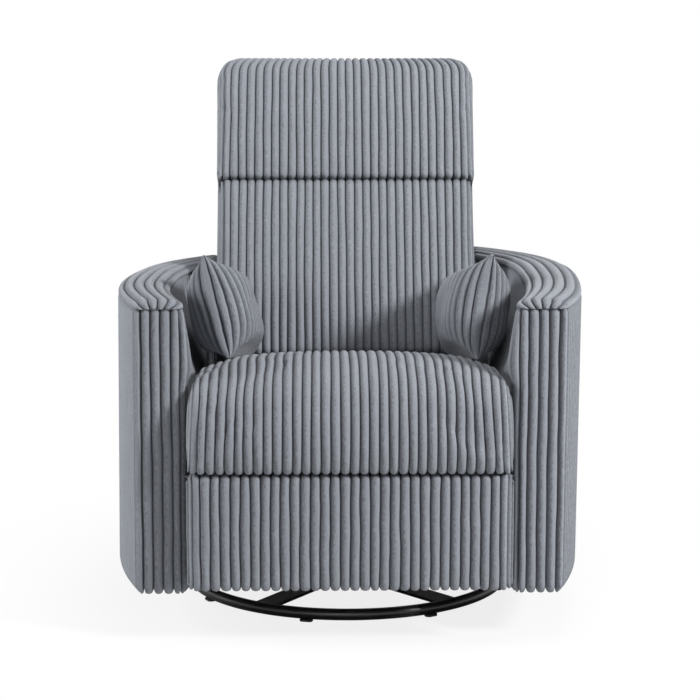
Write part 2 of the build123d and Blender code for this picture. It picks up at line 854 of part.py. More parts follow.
def arm_boards():
    """Inner panel and two posts of the arm's frame, glued to each other."""
    inner = pad_inner + arm_board_inset
    outer = inner + arm_board_thickness
    height = (arm_board_bottom, arm_board_top)
    panel = block((inner, outer), (arm_board_front, arm_board_rear + arm_board_thickness), height)
    posts = [block((outer, outer + arm_post_width), (y, y + arm_board_thickness), height)
             for y in (arm_board_front, arm_board_rear)]
    return [panel] + posts


def arm_frame():
    return Compound(arm_boards())


def arm_upholstery():
    """Barrel arm: a curved wall with a rolled top, and a sloping pad down to the seat."""
    pad_outer = arm_outer - arm_wall + 2 * arm_board_thickness
    pad_plane = Plane(origin=(0, pad_front, 0), x_dir=(1, 0, 0), z_dir=(0, -1, 0))
    pad = make_face(Polyline((pad_inner, arm_bottom), (pad_inner, pad_shoulder),
                             (arm_outer - arm_wall, pad_top), (pad_outer, pad_top),
                             (pad_outer, arm_bottom), close=True))
    arm = arm_wall_solid() + extrude(pad_plane * pad, -(pad_rear - pad_front))
    for board in arm_boards():
        arm -= board
    return arm


def rear_apron():
    """Panel between the arms' rear posts, below the leaning back."""
    return block((-pad_inner, pad_inner), (arm_board_rear, arm_board_rear + apron_thickness),
                 (apron_bottom, apron_top))


def arm_brackets():
    """Z-shaped steel straps from the seat rail to the arm's frame."""
    low, high = arm_bracket_bottom, arm_bracket_bottom + arm_bracket_height
    face = make_face(Polyline(
        (rail_outer, high), (rail_outer, low), (pad_inner, low), (pad_inner, high),
        (pad_inner - plate, high), (pad_inner - plate, low + plate), (rail_outer + plate, low + plate),
        (rail_outer + plate, high), close=True,
    ))
    straps = []
    for y in arm_bracket_places:
        plane = Plane(origin=(0, y + arm_bracket_width / 2, 0), x_dir=(1, 0, 0), z_dir=(0, -1, 0))
        straps.append(extrude(plane * face, arm_bracket_width))
    return both(straps)


# ================================================================ throw pillows
def lens(reach):
    """A lens face, as thick as the pillow in its middle and as its sewn edge at both ends."""
    thick, edge = pillow_thickness / 2, pillow_edge / 2
    return make_face([
        ThreePointArc((-edge, -reach), (-thick, 0), (-edge, reach)),
        Line((-edge, reach), (edge, reach)),
        ThreePointArc((edge, reach), (thick, 0), (edge, -reach)),
        Line((edge, -reach), (-edge, -reach)),
    ])


def pillow():
    """Knife-edge pillow that stands on its long side: two crossed lens shapes meet in its corner folds."""
    long, tall = pillow_length / 2, pillow_height / 2
    along = extrude(Plane.XY * lens(long), tall, both=True)
    upright_lens = Plane(origin=(0, 0, 0), x_dir=(1, 0, 0), z_dir=(0, -1, 0)) * lens(tall)
    return along & extrude(upright_lens, long, both=True)


def seat_surface(x, y):
    return seat_crest_height(y) - crowned(x, seat_half_width, seat_crown_drop)


def placed_pillow(x, tilt, turn):
    """A pillow that rests on the seat along its lower edge and leans outwards by its tilt."""
    foot = abs(x) - pillow_height / 2 * sin(radians(abs(tilt)))
    rear, front = pillow_place + pillow_length / 2, pillow_place - pillow_length / 2
    rise = seat_surface(foot, rear) - seat_surface(foot, front)
    edge_drop = pillow_edge / 2 * sin(radians(abs(tilt))) + 2 * face_clearance
    height = seat_surface(foot, pillow_place) + edge_drop + pillow_height / 2 * cos(radians(tilt))
    pitch = degrees(atan2(rise, pillow_length))
    return Pos(x, pillow_place, height) * Rot(pitch, 0, turn) * Rot(0, tilt, 0) * pillow()


# ================================================================ the chair
nodes = {
    "base_ring": base_ring(),
    "cross_bars": cross_bars(),
    "floor_glides": floor_glides(),
    "hub_plate": hub_plate(),
    "king_pin": king_pin(),
    "thrust_washer": thrust_washer(),
    "swivel_plate": swivel_plate(),
    "glider_channels": glider_channels(),
    "glider_bracket_right": glider_bracket(),
    "glider_bracket_left": mirrored(glider_bracket()),
    "glide_hanger_pins": glide_hanger_pins(),
    "front_glide_links": both([glide_link(-glide_pivot_spread)]),
    "rear_glide_links": both([glide_link(glide_pivot_spread)]),
    "side_plate_right": side_plate(),
    "side_plate_left": mirrored(side_plate()),
    "glide_shoe_pins": glide_shoe_pins(),
    "rear_link_pins": rear_link_pins(),
    "seat_rail_right": seat_side_rail(),
    "seat_rail_left": mirrored(seat_side_rail()),
    "seat_rail_front": seat_cross_rail(rail_front),
    "seat_rail_rear": seat_cross_rail(rear_rail_place),
    "seat_webbing": seat_webbing(),
    "recline_pins": recline_pins(),
    "seat_cushion": seat_cushion(),
    "drive_link_right": drive_link(),
    "drive_link_left": mirrored(drive_link()),
    "torque_tube": torque_tube(),
    "rear_link_right": rear_link(),
    "rear_link_left": mirrored(rear_link()),
    "coupler_link_right": coupler_link(),
    "coupler_link_left": mirrored(coupler_link()),
    "coupler_pins": coupler_pins(),
    "tilt_link_right": tilt_link(),
    "tilt_link_left": mirrored(tilt_link()),
    "tilt_pins": tilt_pins(),
    "footrest_bracket_right": footrest_bracket(),
    "footrest_bracket_left": mirrored(footrest_bracket()),
    "footrest_board": footrest_board(),
    "footrest_cushion": footrest_cushion(),
    "back_stile_right": back_stile(),
    "back_stile_left": mirrored(back_stile()),
    "back_cross_rails": back_cross_rails(),
    "back_webbing": back_webbing(),
    "lumbar_cushion": lumbar_cushion(),
    "headrest_cushion": headrest_cushion(),
    "outer_back": outer_back(),
    "recline_brackets": both([recline_bracket()]),
    "arm_right": arm_upholstery(),
    "arm_left": mirrored(arm_upholstery()),
    "arm_frame_right": arm_frame(),
    "arm_frame_left": mirrored(arm_frame()),
    "rear_apron": rear_apron(),
    "arm_brackets": arm_brackets(),
    "pillow_left": placed_pillow(left_pillow_set_in - seat_half_width, *left_pillow_turn),
    "pillow_right": placed_pillow(seat_half_width - right_pillow_set_in, *right_pillow_turn),
}

os.makedirs("parts", exist_ok=True)
for name, shape in nodes.items():
    export_step(shape, f"parts/{name}.step")
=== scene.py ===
import json
import math

import bmesh
import bpy
import numpy as np
from mathutils import Matrix, Vector


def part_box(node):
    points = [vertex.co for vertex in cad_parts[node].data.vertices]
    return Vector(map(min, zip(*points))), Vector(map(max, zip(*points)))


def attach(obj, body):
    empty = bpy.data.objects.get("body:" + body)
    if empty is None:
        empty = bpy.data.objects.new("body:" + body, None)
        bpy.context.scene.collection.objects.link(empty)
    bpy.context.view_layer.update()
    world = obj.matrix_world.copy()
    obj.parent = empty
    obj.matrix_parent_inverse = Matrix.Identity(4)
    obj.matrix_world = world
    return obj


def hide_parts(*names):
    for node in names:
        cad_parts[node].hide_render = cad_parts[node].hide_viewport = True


bl_info = {
    "name": "Swivel glider recliner",
    "version": (1, 0, 0),
    "blender": (4, 5, 0),
    "location": "3D View > Sidebar > Recliner",
    "description": "Upholstery, fasteners, finishes and a studio for a ribbed plush recliner",
    "category": "Object",
}

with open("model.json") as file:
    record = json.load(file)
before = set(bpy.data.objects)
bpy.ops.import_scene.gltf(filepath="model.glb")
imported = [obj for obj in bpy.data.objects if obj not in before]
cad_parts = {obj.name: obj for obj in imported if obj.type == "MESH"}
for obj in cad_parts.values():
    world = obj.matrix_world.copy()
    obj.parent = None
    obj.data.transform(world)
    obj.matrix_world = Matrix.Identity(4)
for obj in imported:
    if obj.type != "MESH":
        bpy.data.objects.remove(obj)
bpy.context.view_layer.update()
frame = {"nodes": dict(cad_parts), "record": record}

# Metres. The sitter faces -Y and +Z is up. Y and Z of the back are those of the upright back.
LEAN = math.radians(22.0)          # the back's lean at rest
BACK_FACE = -0.002                 # plain rear of the back's cushions, in front of the frame
SEAT_HALF_WIDTH = 0.288
LUMBAR_HALF_WIDTH = 0.263
HEADREST_HALF_WIDTH = 0.267
SEAT_NOSE = (-0.472, 0.395)        # Y and Z where the front roll reaches furthest
SEAT_CREST = (-0.372, 0.500)       # and where the top is highest
SEAT_REAR = (0.095, 0.431)
SEAT_CROWN = 0.022                 # the top falls by this much towards its sides
SIDE_FALL = 2.5                    # power of that fall: the higher, the longer the middle stays level

SPACING = 0.013                    # between a cushion's points along its outline, before refining
BASE_SPACING = 0.03                # and along its plain underside
CORNER_SHARE = math.sqrt(0.94)     # a rounded upper corner stops just short of its quarter circle
SIDE_CLOSING = 0.85                # how far the sides' ribs close on the core line
FREE_HOLD = 0.06                   # how firmly the cover is held against the stuffing: on its face,
REAR_HOLD = 0.4                    # at a rear edge that has no seam,
SIDE_HOLD = 0.7                    # and round the middle of its sides
SEAM_REACH = 0.012                 # how far a seam deepens the valleys that run to it


# ------------ properties
class ReclinerSizes(bpy.types.PropertyGroup):
    """Sizes of the upholstery"""

    rib_pitch: bpy.props.FloatProperty(
        name="Rib pitch", description="Width of one rib of the plush", default=0.0175, unit="LENGTH")
    rib_depth: bpy.props.FloatProperty(
        name="Rib depth", description="Depth of the valley between ribs", default=0.0072, unit="LENGTH")
    rib_wander: bpy.props.FloatProperty(
        name="Rib wander", description="How far a valley strays from its line", default=0.0014,
        unit="LENGTH")
    seam_depth: bpy.props.FloatProperty(
        name="Seam depth", description="Extra depth of the valleys where the ribs end at a seam",
        default=0.003, unit="LENGTH")
    side_radius: bpy.props.FloatProperty(
        name="Side radius", description="Rounding of the cushions' sides", default=0.024, unit="LENGTH")
    swelling: bpy.props.FloatProperty(
        name="Swelling", description="Most that the stuffing may push the cover out", default=0.009,
        unit="LENGTH")
    screw_width: bpy.props.FloatProperty(
        name="Screw head width", description="Width of the brackets' button-head screws", default=0.012,
        unit="LENGTH")


class ReclinerColours(bpy.types.PropertyGroup):
    """Colours of the finishes, and the painted shade of the plush valleys"""

    plush: bpy.props.FloatVectorProperty(
        name="Plush", description="Slate grey pile on the ribs", subtype="COLOR", size=4,
        default=(0.235, 0.250, 0.278, 1.0), min=0.0, max=1.0)
    # painted shade: this dark colour stands in for the shade that falls between the ribs
    shaded_valley: bpy.props.FloatVectorProperty(
        name="Plush valley", description="Pile down between the ribs", subtype="COLOR", size=4,
        default=(0.060, 0.066, 0.078, 1.0), min=0.0, max=1.0)
    paint: bpy.props.FloatVectorProperty(
        name="Black paint", description="Powder coat on the steel", subtype="COLOR", size=4,
        default=(0.012, 0.012, 0.014, 1.0), min=0.0, max=1.0)
    floor: bpy.props.FloatVectorProperty(
        name="Floor", description="Pale studio floor", subtype="COLOR", size=4,
        default=(0.66, 0.66, 0.66, 1.0), min=0.0, max=1.0)


def sizes():
    return bpy.context.scene.recliner_sizes


def colours():
    return bpy.context.scene.recliner_colours


# ------------ curves
def unit(vectors):
    return vectors / np.maximum(np.linalg.norm(vectors, axis=-1, keepdims=True), 1e-9)


def smooth_step(values, low, high):
    share = np.clip((values - low) / (high - low), 0.0, 1.0)
    return share * share * (3 - 2 * share)


def quarter_fall(share):
    """How far a quarter circle has fallen at a share of its width: 0 at its top, 1 at its side."""
    return 1 - np.sqrt(np.maximum(0.0, 1 - share ** 2))


def superellipse(fraction, power):
    """A point of a squared-off quarter circle, from (0, 1) to (1, 0). A power of 2 is a circle."""
    angle = fraction * math.pi / 2
    return math.sin(angle) ** (2 / power), max(0.0, math.cos(angle)) ** (2 / power)


def quarter(steps, power):
    return [superellipse(step / steps, power) for step in range(steps + 1)]


def run_along(line):
    """Distances from a broken line's start to each of its points."""
    return np.concatenate([[0.0], np.cumsum(np.linalg.norm(np.diff(line, axis=0), axis=1))])


def line_points(line, places):
    """Points of a broken line at shares of its length."""
    run = run_along(line)
    return np.stack([np.interp(places * run[-1], run, line[:, k]) for k in range(line.shape[1])], -1)


def evenly(points, spacing):
    """An open line of points at an even spacing, its ends kept."""
    line = np.array(points)
    count = max(2, int(round(run_along(line)[-1] / spacing)) + 1)
    return line_points(line, np.linspace(0.0, 1.0, count))


def nearest_on_line(points, line):
    """The nearest point of a broken line to each point."""
    near, gaps = [], []
    for start, end in zip(np.array(line), np.array(line)[1:]):
        run = end - start
        share = np.clip(((points - start) @ run) / (run @ run), 0.0, 1.0)
        near.append(start + share[:, None] * run)
        gaps.append(np.linalg.norm(points - near[-1], axis=1))
    return np.array(near)[np.argmin(gaps, axis=0), np.arange(len(points))]


def bent_back(points):
    """Points of the backrest, from upright to its lean."""
    c, s = math.cos(LEAN), math.sin(LEAN)
    y, z = points[..., 1].copy(), points[..., 2].copy()
    points[..., 1] = y * c + z * s
    points[..., 2] = z * c - y * s
    return points


# ------------ grids of cloth
def refined(grid, factor, axis, closed):
    """A grid of points with smooth in-between points along one axis."""
    points = np.moveaxis(grid, axis, 0)
    if closed:
        before, start, after, beyond = (np.roll(points, -k, 0) for k in (-1, 0, 1, 2))
    else:
        padded = np.concatenate([2 * points[:1] - points[1:2], points, 2 * points[-1:] - points[-2:-1]])
        before, start, after, beyond = padded[:-3], padded[1:-2], padded[2:-1], padded[3:]
    steps = []
    for step in range(factor):
        t = step / factor
        steps.append(0.5 * (2 * start + (after - before) * t
                            + (2 * before - 5 * start + 4 * after - beyond) * t ** 2
                            + (3 * start - before - 3 * after + beyond) * t ** 3))
    fine = np.stack(steps, 1).reshape((-1,) + points.shape[1:])
    if not closed:
        fine = np.concatenate([fine, points[-1:]])
    return np.moveaxis(fine, 0, axis)


def grid_slopes(grid, closed_across, closed_along):
    """A grid's unit tangents across it, and its normals, which point away from its middle."""
    def slope(axis, closed):
        if closed:
            return np.roll(grid, -1, axis) - np.roll(grid, 1, axis)
        return np.gradient(grid, axis=axis)

    across = slope(0, closed_across)
    normal = unit(np.cross(across, slope(1, closed_along)))
    if np.sum(normal * (grid - grid.mean(axis=(0, 1)))) < 0:
        normal = -normal
    return unit(across), normal


def grid_faces(count_across, count_along, closed_across, closed_along):
    """Corner numbers of a grid's four-sided faces, and of the two end caps where it is a tube."""
    i = np.arange(count_across if closed_across else count_across - 1)
    j = np.arange(count_along if closed_along else count_along - 1)
    i, j = np.meshgrid(i, j, indexing="ij")
    i2, j2 = (i + 1) % count_across, (j + 1) % count_along
    corners = [i * count_along + j, i2 * count_along + j, i2 * count_along + j2, i * count_along + j2]
    faces = np.stack(corners, -1).reshape(-1, 4).tolist()
    number = np.arange(count_across * count_along).reshape(count_across, count_along)
    if closed_along and not closed_across:
        faces += [number[0, ::-1].tolist(), number[-1].tolist()]
    if closed_across and not closed_along:
        faces += [number[::-1, 0].tolist(), number[:, -1].tolist()]
    return faces


def new_mesh(name, points, faces):
    """A new piece with its faces turned outwards."""
    mesh = bpy.data.meshes.new(name)
    mesh.from_pydata([tuple(p) for p in points.reshape(-1, 3)], [], faces)
    mesh.update()
    piece = bpy.data.objects.new(name, mesh)
    bpy.context.scene.collection.objects.link(piece)
    shape = bmesh.new()
    shape.from_mesh(mesh)
    bmesh.ops.recalc_face_normals(shape, faces=shape.faces)
    shape.to_mesh(mesh)
    shape.free()
    return piece


def mesh_points(mesh):
    points = np.zeros(len(mesh.vertices) * 3)
    mesh.vertices.foreach_get("co", points)
    return points.reshape(-1, 3)


def discard(piece):
    mesh = piece.data
    bpy.data.objects.remove(piece)
    bpy.data.meshes.remove(mesh)


def duplicate(piece):
    """A copy of a piece with a mesh of its own."""
    copy = piece.copy()
    copy.data = piece.data.copy()
    bpy.context.scene.collection.objects.link(copy)
    return copy


def joined(parts):
    """Rigid parts made one piece, which keeps the first part's name."""
    bpy.ops.object.select_all(action="DESELECT")
    for part in parts:
        part.select_set(True)
    bpy.context.view_layer.objects.active = parts[0]
    bpy.ops.object.join()
    return parts[0]


def stuffed(name, grid, faces, held, reach, pressure=4.0):
    """A grid as the stuffing's pressure swells it. Held points stay, and no point moves beyond reach."""
    last_frame = 20
    piece = new_mesh(name + "_start", grid, faces)
    group = piece.vertex_groups.new(name="sewn")
    weights = np.round(held.ravel(), 2)
    for weight in sorted(set(weights) - {0.0}):
        group.add(np.nonzero(weights == weight)[0].tolist(), float(weight), "REPLACE")
    cloth = piece.modifiers.new("stuffing", "CLOTH")
    for key, value in dict(
            quality=6, mass=0.4, tension_stiffness=18, compression_stiffness=12, shear_stiffness=6,
            bending_stiffness=0.6, tension_damping=8, use_pressure=True, uniform_pressure_force=pressure,
            vertex_group_mass="sewn", pin_stiffness=1.0).items():
        setattr(cloth.settings, key, value)
    cloth.settings.effector_weights.gravity = 0
    cloth.point_cache.frame_start = 1
    cloth.point_cache.frame_end = last_frame
    for number in range(1, last_frame + 1):
        bpy.context.scene.frame_set(number)
    swollen = piece.evaluated_get(bpy.context.evaluated_depsgraph_get())
    before, after = mesh_points(piece.data), mesh_points(swollen.to_mesh())
    swollen.to_mesh_clear()
    bpy.context.scene.frame_set(1)
    discard(piece)
    moved = after - before
    moved *= np.minimum(0.5, reach / np.maximum(np.linalg.norm(moved, axis=1, keepdims=True), 1e-9))
    return (before + moved).reshape(grid.shape)


def dressed(piece, unshaded_pile, across, along, flank_shade_mask):
    """Gives a piece its masks of painted shade, for the rib valleys and for one flank of each rib, its
    cloth coordinates and smooth shading.
    """
    mesh = piece.data
    across, along, flank_shade_mask = (np.broadcast_to(values, unshaded_pile.shape) for values in (across, along, flank_shade_mask))
    # the masks of painted shade: 0 in the valleys and 1 on the crests, and from 0 on the shaded flank of
    # each rib to 1 on the other
    for name, values in (("unshaded_pile", unshaded_pile), ("flank_shade", flank_shade_mask)):
        attribute = mesh.attributes.new(name, "FLOAT", "POINT")
        attribute.data.foreach_set("value", np.clip(values, 0.0, 1.0).ravel().astype(np.float32))
    layer = mesh.uv_layers.new(name="cloth")
    corners = np.zeros(len(mesh.loops), dtype=np.int64)
    mesh.loops.foreach_get("vertex_index", corners)
    flat = np.stack([across.ravel(), along.ravel()], -1)
    layer.data.foreach_set("uv", flat[corners].ravel().astype(np.float32))
    mesh.shade_smooth()
    mesh.update()


# ------------ ribs
def wandering(lines, length_steps, seed):
    """Smooth sideways strays of each valley line, from -1 to 1."""
    rng = np.random.default_rng(seed)
    along = np.linspace(0.0, 1.0, length_steps)
    stray = np.zeros((lines, length_steps))
    for waves, strength in ((1.3, 0.5), (2.9, 0.35), (6.1, 0.2)):
        phase = rng.uniform(0, 2 * math.pi, (lines, 1))
        rate = waves * rng.uniform(0.7, 1.3, (lines, 1))
        stray += strength * np.sin(2 * math.pi * rate * along + phase) * rng.uniform(0.4, 1.0, (lines, 1))
    return stray + rng.uniform(-0.45, 0.45, (lines, 1))


class Ribs:
    """Ribs across a grid: place counts them at each column, and closed ribs meet their first again."""

    def __init__(self, place, count, rows, seed, closed=False):
        self.place, self.count, self.rows = place, count, rows
        self.lower = np.minimum(np.floor(place).astype(int), count - 1)
        lines = wandering(count if closed else count + 1, rows, seed)
        part = (place - self.lower)[:, None]
        self.stray = (1 - part) * lines[self.lower] + part * lines[(self.lower + 1) % len(lines)]
        self.stray *= sizes().rib_wander
        off = np.abs(2 * (place - np.floor(place)) - 1)
        profile = np.sqrt(np.maximum(0.0, 1 - off ** 2.1))
        self.height = profile[:, None] * np.ones((1, rows))       # 0 in the valleys, 1 on the crests

    def fullness(self, spread, seed):
        """How much fuller or leaner than 1 each rib is along its length."""
        return 1 + spread * wandering(self.count, self.rows, seed)[self.lower]

    def piece(self, name, grid, faces, along, unshaded_pile=None, flank_shade_mask=None, pitch=None):
        """The finished piece. Its mask of painted flank shade runs across each rib, from 0 to 1, and its
        mask of painted valley shade is the ribs' height unless one is given.
        """
        made = new_mesh(name, grid, faces)
        across = self.place[:, None] * (pitch or sizes().rib_pitch)
        dressed(made, self.height if unshaded_pile is None else unshaded_pile, across, along,
                (self.place % 1.0)[:, None] if flank_shade_mask is None else flank_shade_mask)
        return made


# ------------ materials
class Shader:
    """The nodes of a new material or of a world, with short ways to add to them."""

    def __init__(self, owner):
        owner.use_nodes = True
        self.owner, self.nodes, self.links = owner, owner.node_tree.nodes, owner.node_tree.links

    def plug(self, node, inputs):
        """Links each named or numbered input to another node's output, or sets its plain value."""
        for key, value in inputs.items():
            if isinstance(value, bpy.types.NodeSocket):
                self.links.new(value, node.inputs[key])
            else:
                node.inputs[key].default_value = value

    def add(self, kind, inputs, **settings):
        node = self.nodes.new("ShaderNode" + kind)
        for key, value in settings.items():
            setattr(node, key, value)
        self.plug(node, inputs)
        return node

    def place(self):
        return self.add("TexCoord", {}).outputs["Object"]

    def attribute(self, name):
        return self.add("Attribute", {}, attribute_name=name).outputs["Fac"]

    def noise(self, scale, detail, stretch=(1.0, 1.0, 1.0)):
        place = self.add("Mapping", {"Vector": self.place(), "Scale": stretch}).outputs["Vector"]
        return self.add("TexNoise", {"Vector": place, "Scale": scale, "Detail": detail}).outputs["Fac"]

    def maths(self, operation, *values):
        return self.add("Math", dict(enumerate(values)), operation=operation).outputs["Value"]

    def ramp(self, source, low, high, first=0.0, last=1.0, **settings):
        """A value that goes from first to last while the source goes from low to high."""
        return self.add("MapRange", {"Value": source, "From Min": low, "From Max": high,
                                     "To Min": first, "To Max": last}, **settings).outputs["Result"]

    def mix(self, factor, low, high):
        return self.add("Mix", {"Factor": factor, 6: low, 7: high}, data_type="RGBA").outputs[2]

    def two_tone(self, noise, dark, light):
        return self.mix(self.ramp(noise, 0.3, 0.7), dark, light)

    def bump(self, height, distance, strength):
        inputs = {"Height": height, "Distance": distance, "Strength": strength}
        return self.add("Bump", inputs).outputs["Normal"]

    def finished(self, inputs):
        """The material, once its main shader has its inputs."""
        self.plug(self.nodes["Principled BSDF"], inputs)
        return self.owner


def shade(colour, amount):
    return tuple(min(1.0, channel * amount) for channel in colour[:3]) + (1.0,)


def plush_material(cloth):
    """Wide-wale plush with short fibres, brushed patches and a soft sheen, and painted shade in its valleys
    and on one flank of each rib.
    """
    colour = colours().plush
    fibres = cloth.noise(1500.0, 2.0, (1.0, 1.0, 0.45))
    clumps = cloth.noise(330.0, 3.0, (1.0, 1.0, 0.5))
    brushed = cloth.ramp(cloth.noise(22.0, 3.0), 0.35, 0.65)
    clumped = cloth.ramp(clumps, 0.38, 0.64)
    crest = cloth.mix(brushed, shade(colour, 0.90), shade(colour, 1.10))
    tuft = cloth.mix(cloth.ramp(fibres, 0.36, 0.62), shade(colour, 0.62), crest)
    tuft = cloth.mix(clumped, shade(colour, 0.80), tuft)
    # painted shade on one flank of each rib, standing in for the key light that falls from the side
    flank_shade_edge = cloth.maths("MULTIPLY_ADD", clumps, 0.5, cloth.attribute("flank_shade"))
    flank_shade_colour = cloth.mix(clumped, shade(colour, 0.50), shade(colour, 0.66))
    tuft = cloth.mix(cloth.ramp(flank_shade_edge, 0.58, 0.78), flank_shade_colour, tuft)
    # painted shade: the valleys between the ribs darken towards the valley colour
    depth = cloth.ramp(cloth.attribute("unshaded_pile"), 0.05, 0.75)
    return cloth.finished({
        "Base Color": cloth.mix(depth, tuple(colours().shaded_valley), tuft), "Roughness": 0.92,
        "Specular IOR Level": 0.12, "Sheen Weight": 0.12, "Sheen Roughness": 0.45,
        "Normal": cloth.bump(cloth.maths("ADD", fibres, clumps), 0.0012, 0.8)})


def paint_material(coat):
    """Satin black powder coat with its fine orange peel."""
    cloudy = coat.noise(35.0, 4.0)
    colour = colours().paint
    return coat.finished({
        "Base Color": coat.two_tone(cloudy, tuple(colour), shade(colour, 1.9)),
        "Roughness": coat.ramp(cloudy, 0.0, 1.0, 0.24, 0.40),
        "Normal": coat.bump(coat.noise(900.0, 2.0), 0.00012, 0.5)})


def zinc_material(zinc):
    """Zinc-plated steel with faint clouds in its shine."""
    cloudy = zinc.noise(120.0, 5.0)
    return zinc.finished({
        "Base Color": zinc.two_tone(cloudy, (0.42, 0.42, 0.44, 1), (0.60, 0.60, 0.58, 1)),
        "Metallic": 1.0, "Roughness": zinc.ramp(cloudy, 0.0, 1.0, 0.25, 0.45)})


def nylon_material(nylon):
    """Moulded black nylon with a fine spark-eroded grain."""
    grain = nylon.noise(1400.0, 2.0)
    return nylon.finished({
        "Base Color": nylon.two_tone(grain, (0.018, 0.018, 0.019, 1), (0.032, 0.032, 0.034, 1)),
        "Roughness": 0.6, "Normal": nylon.bump(grain, 0.00015, 0.6)})


def wood_material(wood):
    """Bare hardwood and plywood with long grain and growth bands."""
    grain = wood.noise(60.0, 6.0, (0.25, 1.0, 1.0))
    bands = wood.add("TexWave", {"Scale": 28.0, "Distortion": 5.0, "Detail": 3.0, "Vector": wood.place()})
    tone = wood.two_tone(grain, (0.40, 0.25, 0.13, 1), (0.62, 0.44, 0.26, 1))
    return wood.finished({
        "Base Color": wood.mix(wood.ramp(bands.outputs["Fac"], 0.1, 1.4), tone, (0.52, 0.34, 0.18, 1)),
        "Roughness": 0.7, "Normal": wood.bump(grain, 0.0004, 0.5)})


def webbing_material(strap):
    """Woven elastic webbing of crossed threads."""
    threads = [strap.add("TexWave", {"Scale": 160.0, "Vector": strap.place()}, bands_direction=direction)
               for direction in ("X", "Y")]
    weave = strap.maths("MULTIPLY", *(thread.outputs["Fac"] for thread in threads))
    return strap.finished({
        "Base Color": strap.mix(weave, (0.012, 0.012, 0.013, 1), (0.075, 0.075, 0.080, 1)),
        "Roughness": 0.85, "Normal": strap.bump(weave, 0.0006, 0.8)})


def floor_material(floor):
    """Pale floor that keeps the chair's shadow and fades to plain white round it."""
    distance = floor.add("VectorMath", {0: floor.place()}, operation="LENGTH").outputs["Value"]
    share = floor.ramp(distance, 0.35, 1.1, 0.84, 1.0, interpolation_type="SMOOTHSTEP")
    seen = floor.maths("MULTIPLY", share, floor.add("LightPath", {}).outputs["Is Camera Ray"])
    white = floor.add("Emission", {"Color": (1, 1, 1, 1)})
    mix = floor.add("MixShader", {"Fac": seen, 1: floor.nodes["Principled BSDF"].outputs["BSDF"],
                                  2: white.outputs["Emission"]})
    floor.plug(floor.nodes["Material Output"], {"Surface": mix.outputs["Shader"]})
    return floor.finished({
        "Base Color": tuple(colours().floor), "Roughness": 0.9, "Specular IOR Level": 0.0})


FINISHES = {                       # each material slot's material and its maker
    "grey_plush": ("slate plush", plush_material),
    "black_paint": ("black powder coat", paint_material),
    "plated_steel": ("zinc plate", zinc_material),
    "black_plastic": ("black nylon", nylon_material),
    "frame_wood": ("bare frame wood", wood_material),
    "webbing": ("elastic webbing", webbing_material),
}


def finish(slot):
    """The material of a slot, made when it is first asked for."""
    name, make = FINISHES[slot]
    return bpy.data.materials.get(name) or make(Shader(bpy.data.materials.new(name)))


def fitted(piece, body, slot):
    """Gives a piece its finish and fastens it to its body."""
    piece.data.materials.clear()
    piece.data.materials.append(finish(slot))
    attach(piece, body)


def upholstered(piece, body, fill, *nodes):
    """Fastens a soft piece to its body, in place of its plain solids."""
    fitted(piece, body, "grey_plush")
    if nodes:
        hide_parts(*nodes)


# ------------ cushion outlines in Y and Z
def half_round(bottom, top, back, depth, power, taper=0.0):
    """A crowned face from its lower seam to its upper one, thinner by taper at the top."""
    middle, half = (bottom + top) / 2, (top - bottom) / 2
    upper = quarter(24, power)
    whole = [(-s, c) for s, c in upper[:0:-1]] + upper
    return [(back - (depth - taper * (1 + share) / 2) * c, middle + half * share) for share, c in whole]


def seat_crest_height(y):
    """Height of the seat's top along its middle."""
    share = (SEAT_REAR[0] - y) / (SEAT_REAR[0] - SEAT_CREST[0])
    return SEAT_REAR[1] + (SEAT_CREST[1] - SEAT_REAR[1]) * math.sin(math.pi / 2 * share)


def seat_outline():
    """The seat's cover from its front seam over the roll to its rear, and its plain underside."""
    tuck, seam, base, base_front = 0.024, 0.3135, 0.347, -0.395
    (nose, middle), (crest, top) = SEAT_NOSE, SEAT_CREST
    curve = [(nose + tuck * (1 - s), middle - (middle - seam) * c) for s, c in quarter(16, 6.0)[:-1]]
    curve += [(crest - (crest - nose) * c, middle + (top - middle) * s) for s, c in quarter(16, 2.3)[:-1]]
    curve += [(y, seat_crest_height(y)) for y in np.linspace(crest, SEAT_REAR[0], 20)]
    return curve, [(SEAT_REAR[0], base), (base_front, base), (base_front, seam)]


def headrest_outline():
    """The headrest's cover from its lower seam, up and over the frame's top, and its plain inside."""
    low, ledge, top = 0.823, 1.040, 1.110
    face, tuck, crest, rear = -0.110, 0.014, -0.048, 0.053
    shoulder = (low + top) / 2
    curve = [(face + tuck * (1 - s), shoulder - (shoulder - low) * c) for s, c in quarter(18, 8.0)[:-1]]
    curve += [(crest - (crest - face) * c, shoulder + (top - shoulder) * s) for s, c in quarter(14, 2.4)]
    curve += [(crest + (rear - crest) * c, ledge + (top - ledge) * s) for s, c in quarter(14, 2.4)[-2::-1]]
    return curve, [(BACK_FACE, ledge), (BACK_FACE, low)]


